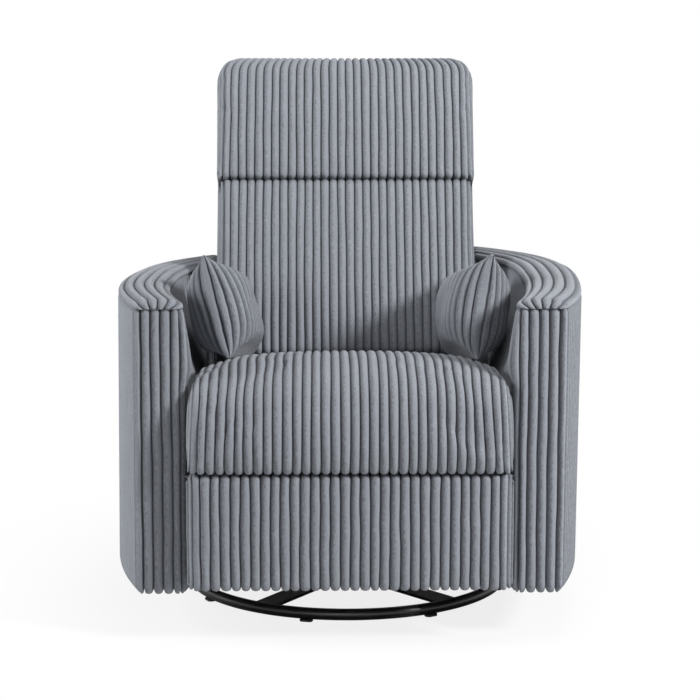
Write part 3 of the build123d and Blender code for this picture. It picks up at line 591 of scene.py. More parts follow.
# ------------ ribbed cushions
class Cushion:
    """A cushion's plain shape: columns go across it, rows along its outline and back along its base."""

    def __init__(self, outline, half_width, side_depth):
        self.radius = sizes().side_radius
        self.half_width, self.side_depth = half_width, side_depth
        curve, base = outline
        face = evenly(curve, SPACING)
        self.loop = np.concatenate([face, evenly([curve[-1]] + base + [curve[0]], BASE_SPACING)[1:-1]])
        run = unit(np.roll(self.loop, -1, 0) - np.roll(self.loop, 1, 0))
        self.inward = np.stack([run[:, 1], -run[:, 0]], -1)
        self.face_rows = len(face)
        self.is_face = np.arange(len(self.loop)) < len(face)
        self.turned = half_width - self.radius + self.radius * math.pi / 2    # where the turn has ended
        self.reach = self.turned + side_depth
        self.ribs = 2 * int(round(self.reach / sizes().rib_pitch))
        self.places = np.linspace(-self.reach, self.reach, 2 * self.ribs + 1)

    def grid(self, core, crown, corner):
        """The cushion's points before it is stuffed."""
        radius, top_radius = self.radius, self.radius / 2
        flat = self.half_width - radius
        distance = np.abs(self.places)[:, None]
        turn = np.clip(distance - flat, 0.0, self.turned - flat) / radius
        x = np.minimum(distance, flat) + radius * np.sin(turn)
        fall = top_radius * quarter_fall(np.maximum(0.0, x - (self.half_width - top_radius)) / top_radius)
        crowned = fall + crown * (x / self.half_width) ** SIDE_FALL
        fall = np.where(self.inward[:, 1] < 0, crowned, 0.4 * fall)
        turned_in = radius * (1 - np.cos(turn)) * self.inward[:, 0] ** 2
        shift = self.is_face * (turned_in + fall * self.inward[:, 1] ** 2)
        line = self.loop + self.inward * shift[..., None]
        closing = SIDE_CLOSING * np.maximum(0.0, distance - self.turned) / self.side_depth
        line += (nearest_on_line(self.loop, core) - line) * closing[..., None]
        width = np.full(shift.shape, self.half_width)
        if corner is not None:
            start, corner_radius = corner
            rise = np.clip((line[..., 1] - start) / corner_radius, 0.0, 1.0)
            width -= corner_radius * quarter_fall(CORNER_SHARE * rise) * self.is_face
        bulge = 0.004 * np.sin(math.pi * closing)
        sideways = np.sign(self.places)[:, None] * (x / self.half_width * width + bulge)
        return np.concatenate([sideways[..., None], line], -1)

    def held(self, top_seam, top_hold):
        """How firmly each point keeps its place against the stuffing, from 0 to 1."""
        held = np.ones((len(self.places), len(self.loop)))
        low_seam = smooth_step(self.inward[self.is_face, 1], 0.05, 0.5)
        high_seam = top_hold * smooth_step(-self.inward[self.is_face, 1], 0.05, 0.5)
        held[:, self.is_face] = np.maximum(FREE_HOLD, np.maximum(low_seam, high_seam))
        if not top_seam:
            held[:, self.face_rows - 1] = REAR_HOLD
        ends = np.abs(self.places) > self.reach - 0.6 * self.side_depth
        held[ends] = np.maximum(held[ends], SIDE_HOLD)
        return held

    def ribbed(self, name, grid, top_seam, seed):
        """The finished piece: ribs pressed into the stuffed cushion."""
        size = sizes()
        fine = refined(refined(grid, 5, 0, False), 2, 1, True)
        across, normal = grid_slopes(fine, False, True)
        columns, rows = fine.shape[:2]
        low_edge = np.arange(rows) * SPACING / 2
        high_edge = (self.face_rows - 1) * SPACING - low_edge
        cloth = np.where(high_edge > -SPACING / 4, 1.0, 0.0)
        near_seam = np.exp(-(low_edge / SEAM_REACH) ** 2)
        if top_seam:
            near_seam += np.exp(-(np.maximum(high_edge, 0.0) / SEAM_REACH) ** 2)
        near_seam *= cloth
        sides = np.linspace(-self.reach, self.reach, columns)
        on_side = np.clip((np.abs(sides) - self.turned) / self.side_depth, 0.0, 1.0)[:, None]
        level = smooth_step(on_side, 0.0, 0.35)[..., None]
        normal = normal * (1 - level) + np.sign(sides)[:, None, None] * np.array([1.0, 0.0, 0.0]) * level

        ribs = Ribs(np.linspace(0.0, self.ribs, columns), self.ribs, rows, seed)
        fading = cloth * (1 - on_side ** 2)
        stray = ribs.stray * np.clip(np.minimum(low_edge, high_edge) / 0.03, 0.15, 1.0) * fading
        depth = size.rib_depth * ribs.fullness(0.10, seed + 50) + size.seam_depth * near_seam
        dip = (depth * (1 - ribs.height) + 0.12 * size.seam_depth * near_seam) * fading
        fine = fine + across * stray[..., None] - normal * dip[..., None]
        # painted valley shade on the face, lifted on the turned sides, and full over the plain underside
        unshaded_pile = np.maximum(ribs.height, smooth_step(on_side, 0.5, 1.0)) * cloth
        return ribs.piece(name, fine, grid_faces(columns, rows, False, True), low_edge, unshaded_pile)


def ribbed_cushion(name, outline, half_width, core, side_depth, seed, crown=0.0, corner=None, leaned=False,
                   top_seam=True, top_hold=0.0):
    """A stuffed cushion whose ribs follow its outline. The outermost ribs turn round onto its sides.

    core is the line, in Y and Z, that the sides' ribs close on, side_depth how far they run to it.
    corner is the start height and radius of rounded upper corners, and top_hold how firmly the top
    keeps its shape."""
    cushion = Cushion(outline, half_width, side_depth)
    grid = cushion.grid(core, crown, corner)
    if leaned:
        grid = bent_back(grid)
    held = cushion.held(top_seam, top_hold)
    grid = stuffed(name, grid, grid_faces(*held.shape, False, True), held, sizes().swelling)
    return cushion.ribbed(name, grid, top_seam, seed)


# ------------ seat and footrest
class RECLINER_OT_seat_cushion(bpy.types.Operator):
    """Stuff the seat cushion with its front roll"""

    bl_idname = "recliner.seat_cushion"
    bl_label = "Seat cushion"

    def execute(self, context):
        core = [(-0.40, 0.405), (0.05, 0.392)]
        piece = ribbed_cushion("seat_cushion_cover", seat_outline(), SEAT_HALF_WIDTH, core,
                               side_depth=0.040, seed=11, crown=SEAT_CROWN)
        upholstered(piece, "chassis", 0.8, "seat_cushion")
        return {"FINISHED"}


class RECLINER_OT_footrest_cushion(bpy.types.Operator):
    """Stuff the footrest pad, and line the edges of its board"""

    bl_idname = "recliner.footrest_cushion"
    bl_label = "Footrest pad"

    def execute(self, context):
        curve = half_round(bottom=0.100, top=0.3124, back=-0.416, depth=0.050, power=11.0)
        core = [(-0.434, 0.122), (-0.434, 0.290)]
        piece = ribbed_cushion("footrest_cover", (curve, []), SEAT_HALF_WIDTH, core,
                               side_depth=0.018, seed=23, top_hold=1.0)
        upholstered(piece, "footrest", 0.8, "footrest_cushion")
        upholstered(board_lining("footrest_lining"), "footrest", 0.1)
        return {"FINISHED"}


def board_lining(name):
    """The cloth strip that wraps the footrest board's edges and is stapled on its rear face."""
    low, high = (np.array(corner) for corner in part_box("footrest_board"))
    gap, lap, fold, thick, border, corner = 0.0003, 0.0004, 0.0005, 0.0014, 0.0104, 0.004
    front, rear = low[1] + gap, high[1]
    # how far each point of the strip's section lies out from the board's edge, and its Y
    section = [(thick, front), (thick, rear), (thick - fold, rear + thick - fold), (-lap, rear + thick),
               (-border, rear + thick), (-border - lap, rear + thick - fold), (-border, rear + lap),
               (gap, rear + lap), (gap, front)]
    (x1, z1), (x2, z2) = low[::2] + corner, high[::2] - corner
    centres = [(x2, z2), (x1, z2), (x1, z1), (x2, z1), (x2, z2)]
    around = []
    for number, (start, end) in enumerate(zip(centres, centres[1:])):
        angles = np.radians(90 * number + 90 * np.arange(9) / 8)
        around += [(*start, math.cos(angle), math.sin(angle)) for angle in angles]
        for share in np.arange(1, 12) / 12:
            place = np.array(start) * (1 - share) + np.array(end) * share
            around.append((*place, math.cos(angles[-1]), math.sin(angles[-1])))
    points = np.zeros((len(around), len(section), 3))
    for i, (x, z, out_x, out_z) in enumerate(around):
        for j, (out, y) in enumerate(section):
            pucker = gap * math.sin(1.9 * i) if j in (4, 5) else 0.0
            off = corner + out + pucker
            points[i, j] = (x + out_x * off, y, z + out_z * off)
    piece = new_mesh(name, points, grid_faces(len(around), len(section), True, True))
    # a share of the painted valley shade lies evenly over the whole strip
    dressed(piece, np.full(points.shape[:2], 0.6), points[..., 0] + points[..., 2], points[..., 1], 0.7)
    return piece


# ------------ backrest
class RECLINER_OT_back_cushions(bpy.types.Operator):
    """Stuff the lumbar cushion and the headrest that folds over the frame"""

    bl_idname = "recliner.back_cushions"
    bl_label = "Back cushions"

    def execute(self, context):
        curve = half_round(bottom=0.440, top=0.8275, back=BACK_FACE, depth=0.122, power=14.0, taper=0.021)
        core = [(-0.058, 0.500), (-0.052, 0.770)]
        lumbar = ribbed_cushion("lumbar_cover", (curve, []), LUMBAR_HALF_WIDTH, core,
                                side_depth=0.032, seed=37, leaned=True, top_hold=1.0)
        upholstered(lumbar, "backrest", 0.75, "lumbar_cushion")
        core = [(-0.052, 0.868), (-0.050, 1.052), (0.020, 1.072)]
        head = ribbed_cushion("headrest_cover", headrest_outline(), HEADREST_HALF_WIDTH, core,
                              side_depth=0.030, seed=41, leaned=True, corner=(1.063, 0.045),
                              top_seam=False, top_hold=0.7)
        upholstered(head, "backrest", 0.75, "headrest_cushion")
        return {"FINISHED"}


# ------------ arms
ARM_FRONT = -0.42
ARM_REAR = 0.46
ARM_WIDEST = 0.444                 # X of the outer side where the arm is widest, at Y = 0
ARM_WIDTH = 0.094
ARM_FRONT_RADII = (1.45, 1.50)     # plan curves of the outer and inner side, in front of Y = 0
ARM_SIDE_RADIUS = 1.0              # and behind it
ARM_SIDE_TURN = math.radians(11.5)
ARM_REAR_RADIUS = 0.545            # round the back corner
ARM_REAR_INNER = 0.276
ARM_CORNERS = (0.011, 0.022)       # radii of the outer and inner upright corners
ARM_BOTTOM = 0.084
ARM_HEIGHTS = (0.622, 0.630)       # of its top at the front and the rear
BAND_HEIGHT = 0.019
BAND_END = 0.030                   # length over which the band rolls down at its ends
PAD_HEIGHTS = (0.440, 0.598)       # the inner face slopes outwards between these
PAD_INNER = (0.2885, 0.3465)       # from and to these places
PAD_START = (-0.428, -0.375)       # it sets in between these depths
PAD_END = (0.275, 0.33)            # and fades out between these
PAD_SOFTNESS = 0.010               # how gently it meets the upright part of the side
BULGE_HEIGHTS = (0.455, 0.500, 0.540, 0.604)
BULGE = (0.0, 0.014, 0.009, 0.0)   # fullness of the slope's front end at those heights
BULGE_END = (-0.40, -0.30)         # it fades out between these depths


def arm_arcs(offset, front_radius):
    """Three tangent plan arcs of one side of the right arm: centre, radius, first and last angle."""
    side_centre = ARM_WIDEST - ARM_SIDE_RADIUS
    step = ARM_SIDE_RADIUS - ARM_REAR_RADIUS
    rear_centre = (side_centre + step * math.cos(ARM_SIDE_TURN), step * math.sin(ARM_SIDE_TURN))
    rear_radius = ARM_REAR_RADIUS - offset
    last = math.acos((ARM_REAR_INNER - rear_centre[0]) / rear_radius)
    front_centre = ARM_WIDEST - offset - front_radius
    return (((front_centre, 0.0), front_radius, math.asin(ARM_FRONT / front_radius), 0.0),
            ((side_centre, 0.0), ARM_SIDE_RADIUS - offset, 0.0, ARM_SIDE_TURN),
            (rear_centre, rear_radius, ARM_SIDE_TURN, last))


def arm_top(y):
    """Height of the arm's top at a depth."""
    return np.interp(y, [ARM_FRONT, ARM_REAR], ARM_HEIGHTS)


class ArmPlan:
    """The right arm's two sides in plan, by the run from its front end."""

    def __init__(self):
        outer_arcs, inner_arcs = (
            arm_arcs(offset, radius) for offset, radius in zip((0.0, ARM_WIDTH), ARM_FRONT_RADII))
        runs = np.concatenate([[0.0], np.cumsum([arc[1] * (arc[3] - arc[2]) for arc in outer_arcs])])
        self.length = runs[-1]
        self.places = np.linspace(0.0, self.length, 400)
        shares = np.interp(self.places, runs, [0.0, 1.0, 2.0, 2.99999])
        self.outer, self.inner = (self.points(arcs, shares) for arcs in (outer_arcs, inner_arcs))

    @staticmethod
    def points(arcs, shares):
        """Points on a chain of arcs, where each share counts the arcs that it has passed."""
        points = []
        for share in shares:
            (x, y), radius, first, last = arcs[int(share)]
            angle = first + (last - first) * (share - int(share))
            points.append((x + radius * math.cos(angle), y + radius * math.sin(angle)))
        return np.array(points)

    def side(self, run, inner, height):
        """Points of one side at each run, their upright corners rounded at both ends."""
        run = np.clip(run, 0.0, self.length)
        outer_side, inner_side = (
            np.stack([np.interp(run, self.places, line[:, k]) for k in range(2)], -1)
            for line in (self.outer, self.inner))
        toward = unit(inner_side - outer_side)
        radius = ARM_CORNERS[int(inner)]
        short = np.clip(1 - np.minimum(run, self.length - run) / radius, 0.0, 1.0)
        inset = (radius * quarter_fall(short))[:, None]
        if not inner:
            return outer_side + toward * inset
        points = inner_side - toward * inset
        depth = inner_side[:, 1]
        padded = smooth_step(depth, *PAD_START) * (1 - smooth_step(depth, *PAD_END))
        lean = np.interp(height, PAD_HEIGHTS, PAD_INNER) - points[:, 0]
        points[:, 0] += 0.5 * (lean - np.sqrt(lean ** 2 + PAD_SOFTNESS ** 2)) * padded
        bulge = np.interp(height, BULGE_HEIGHTS, BULGE)
        points[:, 0] -= bulge * (1 - smooth_step(depth, *BULGE_END))
        return points

    def stations(self, end, spacing):
        """Runs along the arm, close together where its ends turn in."""
        nose = end * (1 - np.sin(np.radians(np.linspace(90, 0, 12))))
        middle = np.linspace(end, self.length - end, int((self.length - 2 * end) / spacing))[1:-1]
        return np.concatenate([nose, middle, self.length - nose[::-1]])


def arm_wall(name):
    """The arm below its band. Upright ribs go once round its plan, and its inner face slopes."""
    size = sizes()
    plan = ArmPlan()
    outer_runs, inner_runs = (plan.stations(corner, 0.004) for corner in ARM_CORNERS)
    tall = ARM_HEIGHTS[0] - BAND_HEIGHT - ARM_BOTTOM

    def lines_at(height):
        outer_side, inner_side = plan.side(outer_runs, False, height), plan.side(inner_runs, True, height)
        return (np.concatenate([outer_side[:1], inner_side]),
                np.concatenate([inner_side[-1:], outer_side[::-1]]))

    middle = 0.50                               # height at which all ribs are equally wide
    steps, rows = 7, 56                         # grid columns on one rib, and rows up the wall
    lengths = [run_along(line)[-1] for line in lines_at(middle)]
    counts = [int(round(length / size.rib_pitch)) for length in lengths]
    count = sum(counts)
    columns = count * steps
    share = np.linspace(0.0, 1.0, rows) ** 0.94
    grid = np.zeros((columns, rows, 3))
    for row in range(rows):
        around = []
        for line, ribs, length in zip(lines_at(ARM_BOTTOM + tall * share[row]), counts, lengths):
            # the ribs keep that width, and what a line is longer goes to its far end
            places = np.arange(ribs * steps) / (ribs * steps)
            here = run_along(line)[-1]
            run = places * length + (here - length) * smooth_step(places, 0.25, 1.0)
            around.append(line_points(line, run / here))
        grid[:, row, :2] = np.concatenate(around)
        grid[:, row, 2] = ARM_BOTTOM + (arm_top(grid[:, row, 1]) - BAND_HEIGHT - ARM_BOTTOM) * share[row]
    across, normal = grid_slopes(grid, True, False)
    level = unit(normal * np.array([1.0, 1.0, 0.0]))
    ribs = Ribs(np.arange(columns) / steps, count, rows, 61, closed=True)
    from_top, from_bottom = (1 - share) * tall, share * tall
    depth = (size.rib_depth * 0.95 * ribs.fullness(0.16, 64)
             + 0.35 * size.seam_depth * np.exp(-(from_top / 0.008) ** 2))
    # the cover turns in at its foot and under the band, and is drawn in along the front corner's seam
    tuck = 0.0
    for turn_in, height, gap in ((0.009, 0.014, from_bottom), (0.0022, 0.006, from_top)):
        tuck = tuck + turn_in * quarter_fall(np.clip(1 - gap / height, 0, 1))
    corner_ribs = np.minimum(ribs.place, count - ribs.place)[:, None]
    corner_seam = 0.0035 * np.exp(-(corner_ribs / 0.22) ** 2)
    dip = depth * (1 - ribs.height) + tuck + corner_seam
    grid = grid + across * ribs.stray[..., None] - level * dip[..., None]
    scallop = 0.007 * np.exp(-from_bottom / 0.006)
    grid[..., 2] += scallop * (1 - ribs.height)
    # the painted flank shade lies on the opposite flank of each rib here
    return ribs.piece(name, grid, grid_faces(columns, rows, True, False), share * 0.52,
                      flank_shade_mask=1 - (ribs.place % 1.0)[:, None])


def arm_band(name):
    """The stuffed band along the arm's top. Its ribs run lengthwise and roll down over the front edge."""
    size = sizes()
    plan = ArmPlan()
    runs = plan.stations(BAND_END, 0.007)
    rows = len(runs)
    scale = np.array([ARM_WIDTH / 2, BAND_HEIGHT])
    dome = np.array([(math.copysign(superellipse(abs(s), 2.6)[0], s), superellipse(abs(s), 2.6)[1])
                     for s in np.linspace(-1.0, 1.0, 161)]) * scale
    count = int(round(run_along(dome)[-1] / size.rib_pitch))
    columns = count * 8 + 1
    places = np.linspace(0.0, 1.0, columns)
    section = line_points(dome, places) / scale
    edge = np.clip(np.minimum(runs, plan.length - runs) / BAND_END, 0.0, 1.0)
    rise = (1 - (1 - edge) ** 2.3) ** (1 / 2.3)
    base = arm_top(0.0) - BAND_HEIGHT
    outer, inner = plan.side(runs, False, base), plan.side(runs, True, base)
    grid = np.zeros((columns, rows, 3))
    grid[..., :2] = (outer + inner) / 2 + (outer - inner) / 2 * section[:, :1, None]
    grid[..., 2] = arm_top(grid[..., 1]) - BAND_HEIGHT * (1 - section[:, 1:2] * rise)
    across, normal = grid_slopes(grid, False, False)
    ribs = Ribs(places * count, count, rows, 67)
    stray = ribs.stray * np.sin(math.pi * places)[:, None] * edge
    near_seam = np.exp(-(edge * BAND_END / 0.010) ** 2)
    depth = 0.85 * size.rib_depth * ribs.fullness(0.12, 68) + 0.2 * size.seam_depth * near_seam
    fade = np.clip(np.minimum(places, 1 - places) * count * 2, 0.35, 1.0)[:, None]
    dip = depth * (1 - ribs.height) * fade
    grid = grid + across * stray[..., None] - normal * dip[..., None]
    # a strip closes the dome from below, and a face each of its ends
    number = np.arange(columns * rows).reshape(columns, rows)
    first, last = number[0], number[-1]
    closing = [[first[j], first[j + 1], last[j + 1], last[j]] for j in range(1, rows - 2)]
    closing.append([*number[:, 0], last[1], first[1]])
    closing.append([*number[:, -1], last[-2], first[-2]])
    faces = grid_faces(columns, rows, False, False) + [[int(corner) for corner in face] for face in closing]
    return ribs.piece(name, grid, faces, runs)


def filled_out(piece, side, below, above, lift):
    """Stuffs an arm's outer side fuller, by below at its foot and above at its top, and lifts its top."""
    points = mesh_points(piece.data)
    outer = smooth_step(side * points[:, 0], 0.34, 0.43)
    rise = np.clip((points[:, 2] - ARM_BOTTOM) / (0.62 - ARM_BOTTOM), 0.0, 1.0)
    points[:, 0] += side * outer * (below + (above - below) * rise)
    points[:, 2] += lift * rise ** 4 * smooth_step(points[:, 1], -0.30, 0.10)
    piece.data.vertices.foreach_set("co", points.ravel())
    piece.data.update()


class RECLINER_OT_arms(bpy.types.Operator):
    """Upholster both barrel arms: an upright ribbed wall, and a band with lengthwise ribs on its top"""

    bl_idname = "recliner.arms"
    bl_label = "Barrel arms"

    def execute(self, context):
        for name, make in (("arm_wall", arm_wall), ("arm_band", arm_band)):
            right = make(name + "_right")
            left = duplicate(right)
            left.name = left.data.name = name + "_left"
            left.data.transform(Matrix.Diagonal((-1, 1, 1, 1)))
            left.data.flip_normals()
            # the painted flank shade is swapped, so that the mirror keeps it on the same side of each rib
            # as on the right arm
            for value in left.data.attributes["flank_shade"].data:
                value.value = 1 - value.value
            # in the photo the right arm is stuffed fuller and higher than the left one
            filled_out(right, side=1, below=0.006, above=0.010, lift=0.012)
            filled_out(left, side=-1, below=0.008, above=0.002, lift=-0.006)
            upholstered(right, "chassis", 0.9, "arm_right")
            upholstered(left, "chassis", 0.9, "arm_left")
        return {"FINISHED"}


# ------------ throw pillows
PILLOW_PLACE = -0.058              # Y of both pillows
PILLOW_SIZE = (0.250, 0.203, 0.130)
PILLOW_EDGE = 0.003                # half the thickness of the sewn edge
PILLOW_SQUARENESS = (3.2, 3.0)     # how late the thickness falls along its length and its height
PILLOW_PUFF = 0.62                 # the less, the rounder the edges
PILLOW_DRAW = 0.05                 # share by which the middles of the sewn edges are drawn in


def pillow_place(x, tilt, turn):
    """Where a pillow lies: on the seat, leaning outwards by its tilt. Its turn is about its height."""
    length, half_height = PILLOW_SIZE[0], PILLOW_SIZE[1] / 2
    lean = math.radians(abs(tilt))
    foot = abs(x) - half_height * math.sin(lean)
    fall = SEAT_CROWN * (foot / SEAT_HALF_WIDTH) ** SIDE_FALL
    lift = 0.004 * math.sin(lean) + 0.0006
    height = seat_crest_height(PILLOW_PLACE) - fall + lift + half_height * math.cos(lean)
    rear, front = (seat_crest_height(PILLOW_PLACE + off) for off in (length / 2, -length / 2))
    pitch = math.atan2(rear - front, length)
    return (Matrix.Translation((x, PILLOW_PLACE, height)) @ Matrix.Rotation(pitch, 4, "X")
            @ Matrix.Rotation(math.radians(turn), 4, "Z") @ Matrix.Rotation(math.radians(tilt), 4, "Y"))


def pillow_filling(share, way):
    """How full a pillow is at a share of its half length (way 0) or half height (way 1)."""
    return np.maximum(0.0, 1 - np.abs(share) ** PILLOW_SQUARENESS[way])


def pillow(name, place, seed):
    """A knife-edge pillow: two ribbed panels sewn together all round and stuffed."""
    size = sizes()
    length, tall, thick = PILLOW_SIZE
    count = 2 * int(round(1.12 * length / size.rib_pitch))
    columns, rows = 2 * count, 21
    share = np.arange(columns) / columns * 2
    dense = np.linspace(-1.0, 1.0, 400)
    swell = thick / 2 * pillow_filling(dense, 0) ** PILLOW_PUFF
    run = run_along(np.stack([dense * length / 2, swell], -1))
    a = np.interp(np.where(share <= 1, share, 2 - share) * run[-1], run, dense)
    side = np.where(share <= 1, 1.0, -1.0)[:, None]
    a_grid, b_grid = np.meshgrid(a, np.linspace(-1.0, 1.0, rows), indexing="ij")
    body = (pillow_filling(a_grid, 0) * pillow_filling(b_grid, 1)) ** PILLOW_PUFF
    grid = np.zeros((columns, rows, 3))
    grid[..., 0] = side * (PILLOW_EDGE + (thick / 2 - PILLOW_EDGE) * body)
    grid[..., 1] = a_grid * length / 2 * (1 - PILLOW_DRAW * (1 - b_grid ** 2))
    grid[..., 2] = b_grid * tall / 2 * (1 - PILLOW_DRAW * (1 - a_grid ** 2))
    rng = np.random.default_rng(seed)
    for waves, strength in ((2.2, 0.0035), (4.1, 0.0022), (7.5, 0.0012)):
        turn, phase = rng.uniform(0, math.pi), rng.uniform(0, 2 * math.pi)
        crease = np.sin(waves * (a_grid * math.cos(turn) + b_grid * math.sin(turn)) + phase + side)
        grid[..., 0] += side * strength * crease * body
    held = np.zeros((columns, rows))
    held[:, [0, -1]] = 0.9
    held[np.abs(a) > 0.99] = 0.6
    grid = stuffed(name, grid, grid_faces(columns, rows, True, False), held, 0.010, 3.0)

    fine = refined(refined(grid, 5, 0, True), 3, 1, False)
    across, normal = grid_slopes(fine, True, False)
    columns, rows = fine.shape[:2]
    ribs = Ribs(np.arange(columns) / columns * count, count, rows, seed, closed=True)
    b = np.linspace(-1.0, 1.0, rows)
    near = np.exp(-((1 - np.abs(b)) * tall / 2 / 0.016) ** 2)
    pinch = np.sin(math.pi * ribs.place)[:, None] ** 2
    depth = size.rib_depth * (1 - 0.35 * near) * (ribs.fullness(0.1, seed + 3) - 0.1)
    dip = (depth * (1 - ribs.height) + 0.003 * near * pinch) * np.clip((1 - np.abs(b)) * 12, 0.0, 1.0)
    fine = fine + across * (ribs.stray * (1 - b ** 4))[..., None] - normal * dip[..., None]
    world = np.array(place)
    fine = fine @ world[:3, :3].T + world[:3, 3]
    return ribs.piece(name, fine, grid_faces(columns, rows, True, False), b * 0.1)


class RECLINER_OT_throw_pillows(bpy.types.Operator):
    """Lay the two loose pillows against the arms"""

    bl_idname = "recliner.throw_pillows"
    bl_label = "Throw pillows"

    def execute(self, context):
        left = pillow("pillow_cover_left", pillow_place(x=-0.238, tilt=-14.0, turn=-6.0), seed=71)
        upholstered(left, "chassis", 0.6, "pillow_left")
        right = pillow("pillow_cover_right", pillow_place(x=0.246, tilt=9.0, turn=6.0), seed=73)
        upholstered(right, "chassis", 0.6, "pillow_right")
        return {"FINISHED"}


# ------------ outer back and apron
def ribbed_sheet(name, plan, low, high, thickness, seed, leaned=False):
    """An upholstered panel along a plan line: ribs stand on its outer face, its inner face is plain."""
    plan = np.array(plan)
    length = run_along(plan)[-1]
    count = int(round(length / sizes().rib_pitch))
    columns = count * 7 + 1
    line = line_points(plan, np.linspace(0.0, 1.0, columns))
    tangent = unit(np.gradient(line, axis=0))
    out = np.stack([tangent[:, 1], -tangent[:, 0]], -1)
    levels = np.linspace(low, high, max(4, int((high - low) / 0.02)))
    ribs = Ribs(np.linspace(0, count, columns), count, len(levels), seed)
    from_edge = np.minimum(levels - low, high - levels)
    round_off = thickness * quarter_fall(np.maximum(0.0, 1 - from_edge / 0.008))
    reach = (0.0045 * ribs.height - round_off)[..., None]
    skin = np.zeros((columns, len(levels), 3))
    skin[..., :2] = line[:, None] + out[:, None] * reach + tangent[:, None] * ribs.stray[..., None]
    lining = np.zeros_like(skin)
    lining[..., :2] = (line - out * thickness)[:, None]
    skin[..., 2] = lining[..., 2] = levels
    around = np.concatenate([skin, lining[:, ::-1]], 1)
    if leaned:
        around = bent_back(around)
    faces = grid_faces(*around.shape[:2], False, True)
    # painted valley shade along the ribs, repeated on the plain inner face
    unshaded_pile = np.concatenate([ribs.height, ribs.height], 1)
    return ribs.piece(name, around, faces, around[..., 2], unshaded_pile, pitch=length / count)


class RECLINER_OT_rear_panels(bpy.types.Operator):
    """Cover the outer back and the panel between the arms' rear posts"""

    bl_idname = "recliner.rear_panels"
    bl_label = "Outer back and rear panel"

    def execute(self, context):
        half, front, depth, corner = 0.268, -0.006, 0.049, 0.014
        angles = np.radians(15.0 * np.arange(7))
        side = [(half - corner * (1 - math.cos(angle)), depth - corner * (1 - math.sin(angle)))
                for angle in angles]
        plan = [(half, front)] + side
        plan += [(-x, y) for x, y in reversed(plan)]
        back = ribbed_sheet("outer_back_cover", plan, low=0.376, high=1.040, thickness=0.004, seed=83,
                            leaned=True)
        upholstered(back, "backrest", 0.2, "outer_back")
        half, rear = 0.292, 0.274
        apron = ribbed_sheet("rear_apron_cover", [(half, rear), (-half, rear)], low=0.080, high=0.346,
                             thickness=0.011, seed=89)
        upholstered(apron, "chassis", 0.2, "rear_apron")
        return {"FINISHED"}


# ------------ steel base
class RECLINER_OT_base_ring(bpy.types.Operator):
    """Bend the round base tube, with the weld beads of the cross bars"""

    bl_idname = "recliner.base_ring"
    bl_label = "Base ring"

    def execute(self, context):
        ring_radius, tube_radius, ring_height = 0.310, 0.011, 0.015
        bead_place, bead_height, bead_spread = 0.299, 0.016, 0.0042
        bpy.ops.object.select_all(action="DESELECT")
        bpy.ops.mesh.primitive_torus_add(major_segments=180, minor_segments=28, major_radius=ring_radius,
                                         minor_radius=tube_radius, location=(0, 0, ring_height))
        ring = context.object
        ring.name = ring.data.name = "base_tube"
        bpy.ops.object.transform_apply(location=True, rotation=True, scale=True)
        parts = [ring]
        for turn in (math.radians(angle) for angle in (-33.0, 40.0, 147.0, 220.0)):
            x, y = bead_place * math.sin(turn), -bead_place * math.cos(turn)
            for z in (bead_height - bead_spread, bead_height + bead_spread):
                bpy.ops.mesh.primitive_torus_add(major_segments=40, minor_segments=8, major_radius=0.0225,
                                                 minor_radius=0.0016, location=(x, y, z))
                bead = context.object
                bpy.ops.transform.resize(value=(1.0, 0.16, 0.6), center_override=bead.location)
                bpy.ops.transform.rotate(value=-turn, orient_axis="Z", center_override=bead.location)
                bpy.ops.object.transform_apply(location=True, rotation=True, scale=True)
                parts.append(bead)
        joined(parts)
        bpy.ops.object.shade_smooth()
        fitted(ring, "base", "black_paint")
        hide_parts("base_ring")
        return {"FINISHED"}


# ------------ fasteners
def button_screw(width):
    """One button-head screw on the floor's centre, its hexagon socket upwards."""
    height, rounding = 0.0022, 0.0013
    bpy.ops.object.select_all(action="DESELECT")
    bpy.ops.mesh.primitive_cylinder_add(vertices=32, radius=width / 2, depth=height,
                                        location=(0, 0, height / 2))
    head = bpy.context.object
    bpy.ops.object.transform_apply(location=True, rotation=True, scale=True)
    bpy.ops.object.mode_set(mode="EDIT")
    bpy.ops.mesh.select_mode(type="FACE")
    bpy.ops.mesh.select_all(action="DESELECT")
    shape = bmesh.from_edit_mesh(head.data)
    for face in shape.faces:
        face.select_set(face.normal.z > 0.9)
    bmesh.update_edit_mesh(head.data)
    bpy.ops.mesh.bevel(offset=rounding, segments=4, affect="EDGES")
    bpy.ops.object.mode_set(mode="OBJECT")
    bpy.ops.mesh.primitive_cylinder_add(vertices=6, radius=width * 0.27, depth=0.003,
                                        location=(0, 0, height + 0.0001))
    socket = bpy.context.object
    cut = head.modifiers.new("socket", "BOOLEAN")
    cut.operation = "DIFFERENCE"
    cut.solver = "EXACT"
    cut.object = socket
    bpy.ops.object.select_all(action="DESELECT")
    bpy.context.view_layer.objects.active = head
    head.select_set(True)
    bpy.ops.object.modifier_apply(modifier=cut.name)
    discard(socket)
    bpy.ops.object.shade_smooth_by_angle(angle=math.radians(35))
    return head


def bracket_screw_places():
    """Each group of screws: its body, and where its screws sit and face on the right side."""
    bracket_middles, half_pitch = (-0.300, 0.060), 0.018
    depths = [y + step for y in bracket_middles for step in (-half_pitch, half_pitch)]
    rail = [((0.260, y, 0.324), (1, 0, 0)) for y in depths]
    arm = [((0.288, y, 0.328), (-1, 0, 0)) for y in depths]
    board = [((0.226, -0.402, z), (0, 1, 0)) for z in (0.2194, 0.2434)]
    along = bent_back(np.array([[0.261, 0.0185, 0.435], [0.261, 0.0205, 0.493]]))
    stile = [(tuple(place), (1, 0, 0)) for place in along]
    return {"arm_bracket_screws": ("chassis", rail + arm), "footrest_bracket_screws": ("footrest", board),
            "recline_bracket_screws": ("backrest", stile)}


